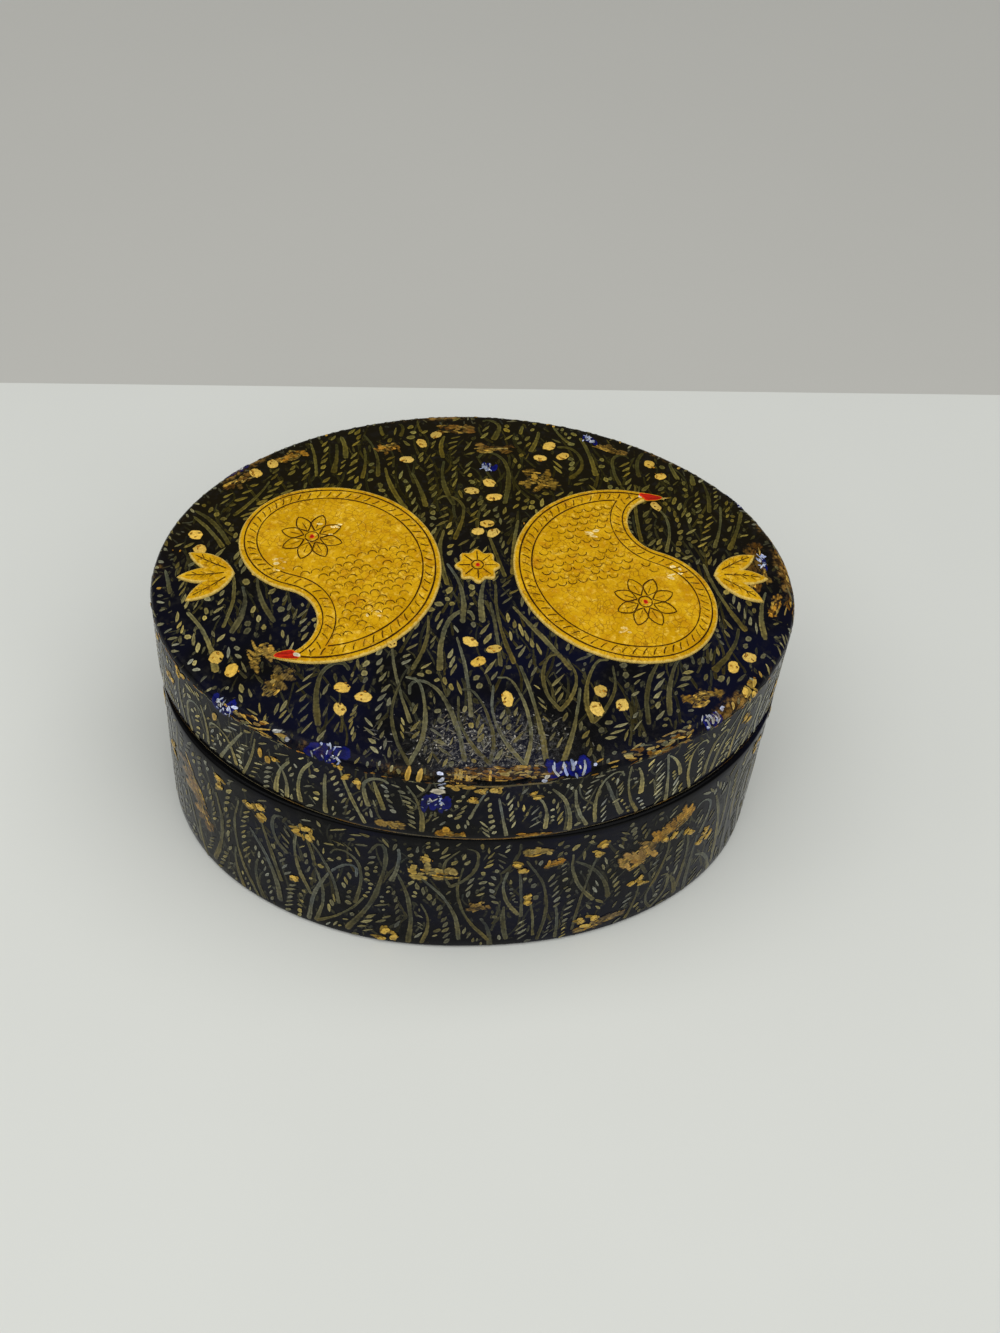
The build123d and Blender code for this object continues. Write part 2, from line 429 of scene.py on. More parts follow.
def wind(strip, thickness, outside, inside):
    """Wind a flat strip round the box, from its outside line to its inside line, and close it."""
    bpy.ops.object.mode_set(mode="OBJECT")
    flat = places(strip) / MM
    deep = (flat[:, 1] / thickness)[:, None]
    share = flat[:, 0] / flat[:, 0].max()
    outer = outside(np.minimum(share, 1 - 1e-9) * outside.length, flat[:, 2])
    inner = inside(np.minimum(share, 1 - 1e-9) * inside.length, flat[:, 2])
    move_to(strip, outer * (1 - deep) + inner * deep)
    bpy.ops.object.mode_set(mode="EDIT")
    bpy.ops.mesh.select_all(action="SELECT")
    bpy.ops.mesh.remove_doubles(threshold=1e-5)
    bpy.ops.mesh.normals_make_consistent(inside=False)


wall_low, wall_high = (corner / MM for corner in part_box("base_wall"))
collar_low, collar_high = (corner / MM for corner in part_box("collar"))
collar_side = Track(collar_high.x, collar_high.y)
wall_depth = base_side.x.max() - collar_high.x
base_wall = wall_strip("painted_base_wall", base_side.length, wall_low.z, wall_high.z, wall_depth,
                       (wall_high.z, RIM_RADIUS, 5), 18)
wind(base_wall, wall_depth, base_side, collar_side)
finish(base_wall, "base", "painted_lacquer", lacquer, "base_wall")


# ---------------------------------------------------------------------------------------------
# Painting on the base: pulls and dabs of a fine brush in thick gouache, laid on before the
# varnish. Olive stems come first, then rows of khaki dashes beside them and golden buds.
# ---------------------------------------------------------------------------------------------
STEM, DASH, BUD = (0.122, 0.120, 0.073), (0.215, 0.209, 0.134), (0.50, 0.33, 0.066)
OCHRE, BROWN = (0.42, 0.20, 0.020), (0.13, 0.060, 0.010)
BLUE, WHITE = (0.004, 0.006, 0.100), (0.52, 0.55, 0.66)
CELL = 0.25                 # side of the squares in which a painting keeps account of bare ground


def toward(turn):
    """The direction at an angle in radians."""
    return np.array([math.cos(turn), math.sin(turn)])


def left_of(way):
    """Directions a quarter turn to the left of others."""
    return np.stack([-way[..., 1], way[..., 0]], -1)


def smooth_path(points, step, tip):
    """A smooth line through a few points: its points a step apart and closer at both tips,
    its headings, and how far along it each point is."""
    points = np.asarray(points, float)
    held = np.vstack([2 * points[0] - points[1], points, 2 * points[-1] - points[-2]])
    t = np.linspace(0, 1, 12, endpoint=False)[:, None]
    runs = []
    for a, b, c, d in zip(held, held[1:], held[2:], held[3:]):
        runs.append(b + 0.5 * ((c - a) * t + (2 * a - 5 * b + 4 * c - d) * t**2
                               + (3 * b - a - 3 * c + d) * t**3))
    dense = np.vstack(runs + [points[-1:]])
    gone = np.concatenate([[0], np.cumsum(np.hypot(*np.diff(dense, axis=0).T))])
    length = gone[-1]
    count = max(2, int(round((length - 1.4 * tip) / step)) + 1)
    ends = tip * np.array([0, 0.12, 0.35])
    at = np.linspace(0.7 * tip, length - 0.7 * tip, count)
    if tip > 0:
        at = np.concatenate([ends, at, length - ends[::-1]])
    path = np.stack([np.interp(at, gone, dense[:, axis]) for axis in (0, 1)], 1)
    heading = np.gradient(path, axis=0)
    return path, heading / np.hypot(*heading.T)[:, None], at


class Painting:
    """Strokes painted on one side of the box: laid out flat in mm, then wrapped on the surface."""

    def __init__(self, skin, low, high, inside, seed):
        self.skin, self.low, self.inside = skin, np.array(low, float), inside
        self.random = np.random.default_rng(seed)
        self.some = self.random.uniform
        self.taken = np.zeros(np.round((np.array(high) - low) / CELL).astype(int), bool)
        self.corners, self.faces, self.paint, self.brush = [], [], [], []
        self.count = self.strokes = 0       # corners and strokes laid so far
        self.stems, self.hanging = [], []   # lines that rows of dashes follow, beside them or on them
        self.under = False                  # whether this is an earlier pass, which others may cover
        self.raised = 0.0                   # how far above the ground the strokes lie
        self.ragged = 0                     # 1 where buds are rough and flat, 0 where they are round
        self.fade = lambda along, up: 1.0   # what colours are multiplied by, in each place

    def tint(self, colour, spread=1.0):
        """A colour as it comes off the brush: lighter or darker, browner or greyer each time."""
        light, warm = self.some(-0.27, 0.24) * spread, self.some(-0.35, 1.0) * spread
        return np.array(colour) * np.exp([light + 0.14 * warm, light + 0.05 * warm, light - 0.30 * warm])

    def cells(self, spots):
        index = np.floor((spots - self.low) / CELL).astype(int)
        return tuple((index % self.taken.shape).T)

    def take(self, here, there):
        """Note the ground between pairs of spots as taken."""
        for blend in (0.0, 0.33, 0.67):
            self.taken[self.cells(here * (1 - blend) + there * blend)] = True

    def lay(self, flat, height, faces, colour, strength, edge, along, across):
        """Add a stroke's mesh, a hair above the strokes under it."""
        if np.max(strength) < THICK:
            colour = np.array(colour) * self.fade(*flat.mean(0)[:2])
        layer = self.strokes % 14           # so that strokes that cross don't lie at one level
        lift = 0.006 if self.under else 0.014 + 0.002 * layer + self.raised
        self.faces.extend([[self.count + corner for corner in face] for face in faces])
        self.corners.append(np.column_stack([flat, height + lift]))
        self.paint.append(np.column_stack([np.broadcast_to(colour, (len(flat), 3)),
                                           np.broadcast_to(strength, len(flat))]))
        self.brush.append(np.column_stack([edge, along, across + 7.3 * self.strokes]))
        self.count += len(flat)
        self.strokes += 1

    def line(self, points, width, colour, strength=0.72, rise=0.03, taper=0.5, share=0.27, step=0.8):
        """One pull of the brush. It stops where the surface ends, and isn't made if more than a
        share of it would cover other strokes."""
        path, heading, along = smooth_path(points, step, width)
        side = left_of(heading)
        if share < 1:
            fits = np.logical_and.accumulate(self.inside(*path.T))
            if fits.sum() < 7:
                return False
            path, side, along = path[fits], side[fits], along[fits]
            spots = np.vstack([path + side * width * off for off in (-0.5, 0, 0.5)])
            if self.taken[self.cells(spots)].mean() > share:
                return False

        # five rows of corners, the outer ones on the ground, which close in at both ends
        swing = self.some(0, 6.3)
        press = (1 - taper * along / along[-1]) * (1 + 0.13 * np.sin(along * 0.55 + swing))
        near = np.clip(np.minimum(along, along[-1] - along) / (0.5 * width), 0, 1)
        half = 0.5 * width * press * np.sqrt(np.clip(1 - (1 - near)**2, 0.0004, 1))
        offs = np.array([-1, -0.6, 0, 0.6, 1])
        flat = path[:, None, :] + side[:, None, :] * (half[:, None] * offs)[:, :, None]
        high = rise * (1 - offs**2) * (half / half.max())[:, None]
        faces = [(5 * i + j + 1, 5 * i + j + 6, 5 * i + j + 5, 5 * i + j)
                 for i in range(len(path) - 1) for j in range(4)]

        # the brush leaves more paint in some places, and its colour changes as it runs dry
        edge = np.maximum(np.abs(offs)[None, :], (1 - near)[:, None] ** 1.5)
        warm = (0.9 - 1.5 * along / along[-1] + 0.5 * np.sin(0.42 * along + swing)
                + 0.4 * np.sin(1.1 * along + 2 * swing))
        load = 0.16 * np.sin(0.8 * along + 3 * swing)
        colour = np.array(colour) * np.exp(np.outer(warm, [0.17, 0.08, -0.16]) + load[:, None])
        self.lay(flat.reshape(-1, 2), high.ravel(), faces, np.repeat(colour, 5, 0), strength, edge.ravel(),
                 np.repeat(along, 5), (half[:, None] * offs).ravel())
        if not self.under:
            for off in np.arange(-0.5 * width - 0.1, 0.5 * width + 0.11, 0.24):
                self.take((path + side * off)[:-1], (path + side * off)[1:])
        return True

    def stem(self, points, size, share=0.16):
        """A stem, thick at its foot, whose line the rows of dashes beside it will follow."""
        made = self.line(points, self.some(0.85, 1.35) * size, self.tint(STEM, 1.4), share=share)
        if made:
            self.stems.append(np.array(points))
        return made

    def dab(self, spot, length, width, angle, colour, strength=1.0, rise=0.05, sides=9, rough=0.12,
            over=True, trail=0.0, narrow=0.0):
        """One touch of the brush: a rough oval, or a drop that trails off. It isn't made off the surface,
        nor, unless it may go over them, on other strokes."""
        turn = np.arange(sides) * 2 * np.pi / sides
        wobble = (1 + rough * np.sin(2 * turn + self.some(0, 6.3)) + rough * self.some(-0.7, 0.7, sides))
        slim = (1 - trail * np.cos(turn)) * (1 - narrow * np.cos(turn)**2)
        oval = np.stack([0.5 * length * np.cos(turn), 0.5 * width * np.sin(turn) * slim], 1)
        oval *= wobble[:, None]
        c, s = toward(angle)
        oval = oval @ np.array([[c, s], [-s, c]])
        spots = spot + np.vstack([oval, 0.5 * oval, [[0, 0]]])
        if not self.inside(*spots.T).all() or (not over and self.taken[self.cells(spots)].any()):
            return

        # two rings of corners and one in the middle
        flat = spot + np.vstack([oval, 0.62 * oval, [[0, 0]]])
        after = (np.arange(sides) + 1) % sides
        faces = [(i, after[i], sides + after[i], sides + i) for i in range(sides)]
        faces += [(sides + i, sides + after[i], 2 * sides) for i in range(sides)]
        edge = np.repeat([1.0, 0.62, 0.0], [sides, sides, 1])
        high = rise * np.repeat([0.0, 0.75, 1.0], [sides, sides, 1])
        along = (flat - spot) @ (c, s)
        strength = strength * (1 - 1.1 * trail * np.clip(along / length, 0, 0.5))
        self.lay(flat, high, faces, colour, strength, edge, along, (flat - spot) @ (-s, c))
        if not self.under:
            grow = 1 + 0.45 / width
            for ring in (0, 0.3, 0.6, 0.85, 1.0):
                self.take(spot + ring * grow * oval, spot + ring * grow * oval[after])

    def row(self, points, least=3, size=1.0, pair=False):
        """A row of dashes slanted from a line, or pairs of them on both its sides. They go wherever there
        is bare ground, if there is room for a few."""
        some = self.some
        path, heading, _ = smooth_path(points, some(1.40, 1.90) * size, 0.0)
        slant = (1 if some() < 0.12 else -1) * some(0.42, 0.88)
        length, width = some(2.15, 3.1) * size, some(0.53, 0.77) * size
        narrow = 0.30
        if some() < 0.13 and not pair:
            length, width, narrow = some(1.25, 1.65) * size, some(0.88, 1.15) * size, 0.0
        colour = self.tint(DASH, 1.4)
        dashes = []
        for spot, way in zip(path, heading):
            for hand in ((-1, 1) if pair else (0,)):
                place = spot + 0.6 * length * hand * left_of(way) + self.random.normal(0, 0.07, 2)
                turn = math.atan2(way[1], way[0]) + (hand * abs(slant) if pair else slant)
                turn += some(-0.09, 0.09)
                reach = 0.45 * length * toward(turn)
                spots = place + np.outer([-1, -0.5, 0, 0.5, 1], reach)
                if self.inside(*spots.T).all() and not self.taken[self.cells(spots)].any():
                    dashes.append((place, turn))
        if len(dashes) < least:
            return
        for place, turn in dashes:
            self.dab(place, length * some(0.75, 1.15), width * some(0.8, 1.25), turn,
                     self.tint(colour) * some(0.62, 1.12), some(0.72, 1.0), 0.05, 10, 0.17,
                     trail=some(0.0, 0.6) if narrow else 0.0, narrow=narrow)

    def cluster(self, spot, count=3, size=1.0, apart=1.0):
        """A few golden buds close together, with brown flecks on them. Ragged ones lie on rough touches
        of a darker gold."""
        some, normal, ragged, ground = self.some, self.random.normal, self.ragged, self.raised
        begin = some(0, 6.3)
        for index in range(count):
            turn = begin + index * 2 * np.pi / count + some(-0.3, 0.3)
            reach = 0 if count == 1 else 0.9 * count ** 0.5 * size * apart
            place = spot + reach * toward(turn)
            turn = some(0, 3.1)
            for _ in range(3 * ragged):
                self.dab(place + normal(0, 0.5, 2) * size, some(1.3, 2.9) * size, some(0.8, 1.7) * size,
                         turn + some(-0.5, 0.5), self.tint(BUD) * some(0.35, 0.75), 1.3, 0.08, 13, 0.28)
            self.raised = ground + 0.06 * ragged
            self.dab(place, some(2.3, 3.0) * size * (1 - 0.15 * ragged),
                     some(1.9, 2.4) * size * (1 - 0.25 * ragged), turn, self.tint(BUD, 0.7), 1.6,
                     0.16 - 0.06 * ragged, 14, 0.13 + 0.10 * ragged)
            self.raised = ground + 0.13
            for _ in range(3):
                self.dab(place + normal(0, 0.45, 2) * size, some(0.4, 1.0) * size, some(0.25, 0.5) * size,
                         some(0, 3.1), (0.50, 0.23, 0.02), some(0.45, 0.75), 0.02, 8, 0.2)
            self.raised = ground

    def smear(self, spot, length, width, angle, colour, strength=0.75, pulls=5):
        """A rubbed, uneven patch: rough touches side by side, with a few drier pulls over them."""
        some, normal = self.some, self.random.normal
        forward = toward(angle)
        aside = left_of(forward)
        for index in range(2 * pulls):
            off = forward * ((index // 2 + 0.5) / pulls - 0.5) * length * 0.85
            off += aside * normal(0, 0.2) * width
            tone = np.array(colour) * (1 - some(0, 0.45))
            tone += np.array(BUD if some() < 0.5 else BROWN) * some(0.0, 0.35)
            self.dab(spot + off, length / pulls * some(0.9, 2.3), width * some(0.35, 1.05),
                     angle + normal(0, 0.3), self.tint(tone), strength * some(0.65, 1.05), 0.04, 16, 0.24)
        for index in range(pulls):
            off = aside * some(-0.4, 0.4) * width + forward * some(-0.3, 0.3) * length
            reach = length * some(0.12, 0.28)
            pull = [spot + off - forward * reach, spot + off + aside * normal(0, 0.3),
                    spot + off + forward * reach]
            self.line(pull, some(0.5, 0.9), self.tint(BUD), 0.5, 0.04, 0.2, share=1)

    def laid_out(self):
        """Where each corner lies when the painting is cut in strips and laid out on one square."""
        wide, high = np.array(self.taken.shape) * CELL
        strips = max(1, round(math.sqrt(wide / high)))
        reach, gap = wide / strips, 8.0 if strips > 1 else 0.5
        side = max(reach + 2 * gap, strips * (high + 1))
        spots = []
        for corners in self.corners:
            strip = min(max(int((corners[:, 0].mean() - self.low[0]) / reach), 0), strips - 1)
            spots.append(corners[:, :2] - self.low + (gap - strip * reach, 0.5 + strip * (high + 1)))
        return np.vstack(spots) / side

    def wrap(self, name):
        """Wrap the flat strokes on the surface, as one mesh."""
        flat = np.vstack(self.corners)
        mesh = bpy.data.meshes.new(name)
        mesh.from_pydata(self.skin(flat[:, 0], flat[:, 1], flat[:, 2]), [], self.faces)
        note(mesh, "paint", np.vstack(self.paint))
        note(mesh, "brush", np.vstack(self.brush))
        corner = np.empty(len(mesh.loops), int)
        mesh.loops.foreach_get("vertex_index", corner)
        mesh.uv_layers.new(name="OFBake").uv.foreach_set("vector", self.laid_out()[corner].ravel())
        piece = bpy.data.objects.new(name, mesh)
        bpy.context.scene.collection.objects.link(piece)
        return piece


def planted(points, foot, lean, hand=1):
    """Points given across and up, mirrored to one hand, leaned over and set on a foot."""
    across, up = np.asarray(points, float).T
    across = across * hand
    c, s = math.cos(lean), math.sin(lean)
    return np.stack([foot[0] + across * c + up * s, foot[1] + up * c - across * s], 1)


def blade(painting, foot, height, size, lean):
    """A single stem with a gentle bow."""
    bow = painting.some(-0.10, 0.10) * height
    stem = planted([(0, 0), (bow, 0.35 * height), (bow, 0.7 * height), (0, height)], foot, lean)
    return painting.stem(stem, size)


def crook(painting, foot, height, size, lean):
    """A stem that nods over at its top, with a row of dashes hanging under it."""
    hand, reach = painting.random.choice([-1, 1]), painting.some(2.4, 4.6) * size
    stem = planted([(0, 0), (-0.05 * height, 0.4 * height), (-0.02 * height, 0.78 * height),
                    (0.35 * reach, 0.97 * height), (0.8 * reach, 0.98 * height), (reach, 0.86 * height)],
                   foot, lean, hand)
    if not painting.stem(stem, size):
        return False
    under = [(0.70 * reach, 0.84 * height), (0.6 * reach, 0.5 * height), (0.55 * reach, 0.16 * height)]
    painting.hanging.append((planted(under, foot, lean, hand), False))
    return True


def arch(painting, foot, height, size, lean):
    """Two stems that part and meet again over a feather of paired dashes."""
    wide, hand = painting.some(2.0, 3.0) * size, painting.random.choice([-1, 1])
    near = planted([(0, 0), (wide * 0.8, 0.28 * height), (wide, 0.62 * height), (0.6 * wide, 0.93 * height),
                    (-0.2 * wide, 0.99 * height)], foot, lean, hand)
    far = planted([(0.2, 0), (-wide * 0.7, 0.28 * height), (-wide, 0.6 * height),
                   (-0.5 * wide, 0.92 * height)], foot, lean, hand)
    if not painting.stem(near, 0.9 * size):
        return False
    painting.stem(far, 0.8 * size, 0.45)
    feather = [(0, 0.24 * height), (0.3, 0.5 * height), (0, 0.8 * height)]
    painting.hanging.append((planted(feather, foot, lean, hand), painting.some() < 0.7))
    return True


def fork(painting, foot, height, size, lean):
    """Two stems that spread from one foot."""
    part = painting.some(0.22, 0.36)
    made = blade(painting, foot, height, size, lean - part)
    return blade(painting, foot, 0.85 * height, size, lean + part) or made


def spray(painting, foot, height, size, lean):
    """A stem with buds at its top."""
    bow = painting.some(-0.12, 0.12) * height
    stem = planted([(0, 0), (bow, 0.4 * height), (bow, 0.75 * height), (0, height)], foot, lean)
    if not painting.stem(stem, 0.9 * size):
        return False
    painting.cluster(stem[-1], painting.random.choice([1, 1, 2, 3]), size * painting.some(0.62, 0.9))
    return True


def plant_rows(painting, rows, size):
    """Plant rows of stems that lean together like grass. A row gives its feet's height, the stems'
    heights and how far apart they are."""
    some, choice = painting.some, painting.random.choice
    (low_u, low_v), reach = painting.low, painting.taken.shape[0] * CELL
    waves = max(2, round(reach / 45))
    for foot_v, short, tall, pitch in rows:
        count = int(reach / pitch)
        swing = some(0, 6.3)
        for index in painting.random.permutation(count):
            for _ in range(3):
                along = (index + some()) / count
                foot = (low_u + along * reach, foot_v + some(-1.3, 1.3) * size)
                lean = 0.22 * math.sin(2 * math.pi * waves * along + swing) + some(-0.13, 0.13)
                kind = choice([blade, blade, blade, crook, crook, arch, fork, spray])
                if kind(painting, foot, some(short, tall), size, lean):
                    break


def underpaint(painting, count, size):
    """Thin dark pulls and touches from an earlier pass, which show between the later ones."""
    some = painting.some
    wide, high = np.array(painting.taken.shape) * CELL
    painting.under = True
    for _ in range(count):
        foot = painting.low + np.array([some() * wide, some(-0.1, 0.9) * high])
        tall, bow = some(4, 11) * size, some(-1.6, 1.6)
        pull = planted([(0, 0), (bow, 0.4 * tall), (bow, 0.75 * tall), (0.4 * bow, tall)], foot,
                       some(-0.5, 0.5))
        if painting.inside(*pull.T).all():
            painting.line(pull, some(0.4, 0.8) * size, painting.tint(STEM) * some(0.22, 0.5), 0.75, 0.01,
                          0.4, 1, 1.1)
    for _ in range(4 * count):
        spot = painting.low + np.array([some() * wide, some() * high])
        painting.dab(spot, some(0.9, 2.6) * size, some(0.4, 1.0) * size, some(0.9, 2.2),
                     painting.tint(STEM) * some(0.3, 0.8), some(0.35, 0.75), 0.01, 8, 0.28)
    painting.under = False


def fill_ground(painting, tries, size):
    """Fill what ground is still bare with rows of dashes: first those that belong to stems, then more
    beside the stems, then wherever there is room, and last of all single dashes."""
    some = painting.some
    (low_u, low_v), (wide, high) = painting.low, np.array(painting.taken.shape) * CELL
    for points, pair in painting.hanging:
        painting.row(points, 2, size, pair)
    for far in (1.0, 1.9):
        for points in painting.stems:
            path, heading, _ = smooth_path(points, 2.5, 0.0)
            for hand in painting.random.permutation([-1, 1]):
                painting.row(path + hand * some(1.6, 2.0) * far * size * left_of(heading), 3, size)
    for least, share in ((5, 0.3), (3, 0.3), (2, 0.2), (1, 0.2)):
        for _ in range(int(tries * share)):
            begin = np.array([low_u + some() * wide, low_v + some() * high])
            if painting.taken[painting.cells(begin[None])].any() or not painting.inside(*begin):
                continue
            reach = some(1.6, 2.6) * least * size + 0.6
            way = [(0, 0), (some(-0.5, 0.5), 0.5 * reach), (some(-0.7, 0.7), reach)]
            painting.row(planted(way, begin, some(-0.3, 0.3)), least, size)


def painted_on_base(along, up):
    """Where the base's side is painted: its rim and foot are left bare, the rim more so at the right."""
    return (up > 0.5) & (up < 30.5 + 0.35 * np.cos(0.0222 * (along - 85.0)))


base_painting = Painting(base_side, (0, 0), (base_side.length, wall_high.z), painted_on_base, 11)
base_painting.ragged = 1
for along, up, count in (   # clusters of golden buds
    (133.4, 25.6, 1), (182.0, 14.5, 3), (127.5, 2.4, 3), (160.5, 4.2, 3), (98.0, 27.0, 2), (112.0, 12.0, 1),
    (205.0, 24.0, 2), (222.0, 9.0, 3), (18.0, 19.0, 3), (52.0, 8.0, 2), (258.0, 22.0, 3), (74.0, 22.0, 2),
):
    base_painting.cluster((along, up), count, 0.85)
for rubbed_patch in (       # its middle, length, width, angle, colour, strength and pulls of the brush
    ((134.5, 21.8), 8.5, 3.0, -0.08, (0.40, 0.30, 0.09), 0.85, 7),
    ((173.6, 24.6), 9.0, 5.0, 0.35, (0.46, 0.25, 0.035), 0.85, 9),
    ((168.0, 19.6), 7.0, 6.0, 0.5, (0.33, 0.20, 0.060), 0.75, 8),
    ((91.0, 16.5), 17.0, 4.6, 1.95, (0.24, 0.14, 0.045), 0.75, 10),
    ((150.5, 27.4), 5.0, 2.2, 0.0, (0.36, 0.27, 0.09), 0.8, 5),
    ((153.5, 24.0), 3.4, 2.4, 0.0, OCHRE, 0.75, 4),
    ((163.0, 3.0), 10.0, 2.4, 0.25, (0.25, 0.17, 0.07), 0.7, 7),
    ((142.0, 12.5), 4.0, 2.6, 0.6, (0.25, 0.16, 0.05), 0.7, 4),
):
    base_painting.smear(*rubbed_patch)
base_painting.fade = lambda along, up: np.array([0.84, 0.85, 0.92])
underpaint(base_painting, 420, 1.0)
plant_rows(base_painting,
           ((1.6, 16, 27, 4.8), (9.5, 13, 20, 4.8), (17.5, 8, 12, 4.4), (1.4, 7, 12, 4.4)), 1.0)
fill_ground(base_painting, 9000, 1.0)
fill_ground(base_painting, 5000, 0.7)
painting_on_base = base_painting.wrap("painting_on_base")
finish(painting_on_base, "base", "painted_lacquer", lacquer)


# ---------------------------------------------------------------------------------------------
# Collar: a thin ring of black paste board glued inside the base. It stands above the rim, and
# the lid slips down over it. Its lip is rounded, and rubbed where the lid has gone over it.
# ---------------------------------------------------------------------------------------------
def black_lacquer(name):
    """Plain black lacquer over paste board, with the brush's drag in it and rubbed lighter edges."""
    look = Coating(name)
    colour = look.mix(look.noise(0.12, 3.0, 0.4, 0.7), (0.0035, 0.0035, 0.004), (0.010, 0.010, 0.011))
    level = look.split(look.place)[2]
    rubbed = look.times(look.ramp(level, 35.4, 36.4), look.noise(0.8, 4.0, 0.45, 0.62))
    look.varnish(0.5, 0.10, 0.00010, 0.16)
    return look.done(look.mix(rubbed, colour, (0.060, 0.042, 0.022)), 0.45)


plain_black = black_lacquer("black_lacquer")
collar_width = 1.2
collar_inner = Track(collar_high.x - collar_width, collar_high.y - collar_width)
collar = wall_strip("black_collar", collar_side.length, collar_low.z, collar_high.z, collar_width,
                    (collar_high.z, 0.4, 3), 6)
wind(collar, collar_width, collar_side, collar_inner)
finish(collar, "base", "black_lacquer", plain_black, "collar")


def blacken(piece, test):
    """Give the faces that pass a test the plain black lacquer: the insides, which aren't painted on."""
    piece.data.materials.append(plain_black)
    for face in piece.data.polygons:
        if test(face.center / MM, face.normal):
            face.material_index = 1


def faces_inwards(at, out):
    return out.x * at.x + out.y * at.y * 1.7 < 0


blacken(base_wall, faces_inwards)
blacken(base_floor, lambda at, out: out.z > 0.7)


# ---------------------------------------------------------------------------------------------
# Lid wall: a second strip of pasted paper, wound to the same outline as the base. Its lower
# edge is thin and worn pale where it meets the base's rim.
# ---------------------------------------------------------------------------------------------
LID_FULLNESS = 1.96
side_low, side_high = (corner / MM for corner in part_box("lid_wall"))
HALF_LENGTH, HALF_WIDTH = 51.0, 39.0                    # of the lid
HOLLOW_LENGTH, HOLLOW_WIDTH = 48.8, 36.8                # half the length and width of its hollow


def lid_swell(turn, up):
    """How the lid's side wanders in and out."""
    return (0.11 * np.sin(2 * turn + 6.12) + 0.06 * np.sin(4 * turn + 3.4)
            + 0.03 * np.sin(11 * turn + 0.3 * up))


lid_side = Track(side_high.x - ROOM, side_high.y - ROOM, LID_FULLNESS, lid_swell)
lid_inner = Track(HOLLOW_LENGTH, HOLLOW_WIDTH)
lid_wall_depth = lid_side.x.max() - HOLLOW_LENGTH
lid_wall = wall_strip("painted_lid_wall", lid_side.length, side_low.z, side_high.z, lid_wall_depth,
                      (side_low.z, 0.4, 3), 10)
wind(lid_wall, lid_wall_depth, lid_side, lid_inner)
finish(lid_wall, "lid", "painted_lacquer", lacquer, "lid_wall")
blacken(lid_wall, faces_inwards)


# ---------------------------------------------------------------------------------------------
# Lid top: a domed oval panel of pasted paper that laps the wall all round. Its shoulder is
# rounded over, and underneath it is flat where it is glued and hollow inside that.
# ---------------------------------------------------------------------------------------------
EDGE_LEVEL, DOME_RISE = side_high.z + 1.6, 3.4
BEND = (HALF_LENGTH**2 + DOME_RISE**2) / (2 * DOME_RISE)    # the dome's radius along the lid
STRETCH = HALF_LENGTH / HALF_WIDTH                          # and how much tighter it is across it
SHOULDER = 1.5                                              # radius of the rounded edge
PANEL = 2.4                                                 # the panel's thickness


def dome(x, y, lift=0.0):
    """Points on the domed top, in metres, at a place in mm and a height above the surface."""
    x, y = np.asarray(x, float), np.asarray(y, float)
    across2 = x**2 + (y * STRETCH)**2
    drop = np.sqrt(BEND**2 - across2)
    inward = np.clip(1 - across2 / HALF_LENGTH**2, 0, 1)
    uneven = 0.06 * np.sin(0.16 * x + 0.9) * np.sin(0.19 * y + 0.4) * inward
    z = EDGE_LEVEL + DOME_RISE - BEND + drop - 0.10 + uneven
    slope_x, slope_y = x / drop, y * STRETCH**2 / drop
    steep = np.sqrt(1 + slope_x**2 + slope_y**2)
    return np.stack([x + lift * slope_x / steep, y + lift * slope_y / steep, z + lift / steep], -1) * MM


def lid_edge(along, up, lift=0.0):
    """Points on the lid's side and over its shoulder: up is measured along the surface from where
    the panel's edge meets the wall, below 0 on the wall and past the shoulder on the dome."""
    x, y, nx, ny, turn = lid_side.at(along)
    out = lid_swell(turn, side_high.z + np.minimum(up, 0))
    x, y = x + out * nx, y + out * ny
    slope = np.hypot(x, y * STRETCH**2) / BEND
    lean = np.arctan(slope)
    reach = SHOULDER * np.tan(np.pi / 4 - lean / 2)
    rim = dome(x, y)[..., 2] / MM
    upright = rim - reach - side_high.z
    most = np.pi / 2 - lean
    round_it = np.clip((up - upright) / SHOULDER, 0, most)
    past = np.maximum(up - upright - SHOULDER * most, 0)
    inward = SHOULDER * (1 - np.cos(round_it)) + past * np.cos(lean)
    z = side_high.z + np.minimum(up, upright) + SHOULDER * np.sin(round_it)
    x2, y2 = x - inward * nx, y - inward * ny
    z = np.where(past > 0, dome(x2, y2)[..., 2] / MM, z)
    return np.stack([x2 + lift * np.cos(round_it) * nx, y2 + lift * np.cos(round_it) * ny,
                     z + lift * np.sin(round_it)], -1) * MM


bpy.ops.object.select_all(action="DESELECT")
bpy.ops.mesh.primitive_circle_add(vertices=EDGE_STEPS, radius=1, fill_type="NGON")
lid_top = start("painted_lid_top")
bpy.ops.mesh.extrude_region_move(TRANSFORM_OT_translate={"value": (0, 0, 1)})
SHOULDER_RINGS, DOME_RINGS, UNDER_RINGS = 9, 22, 10
rings_above = [1 - 0.01 * index for index in range(1, SHOULDER_RINGS)]
INNER_RING = rings_above[-1]
rings_above += list(np.linspace(INNER_RING, 0.03, DOME_RINGS)[1:])
rings_below = list(np.linspace(1, 0.05, UNDER_RINGS)[1:])
for above, rings in ((True, rings_above), (False, rings_below)):
    pick(lid_top, "FACE", lambda low, high: low.z > 0.5 if above else high.z < 0.5)
    for outer, ring in zip([1.0] + rings, rings):
        bpy.ops.mesh.inset(thickness=outer - ring, use_even_offset=False)
    bpy.ops.mesh.poke()
bpy.ops.object.mode_set(mode="OBJECT")

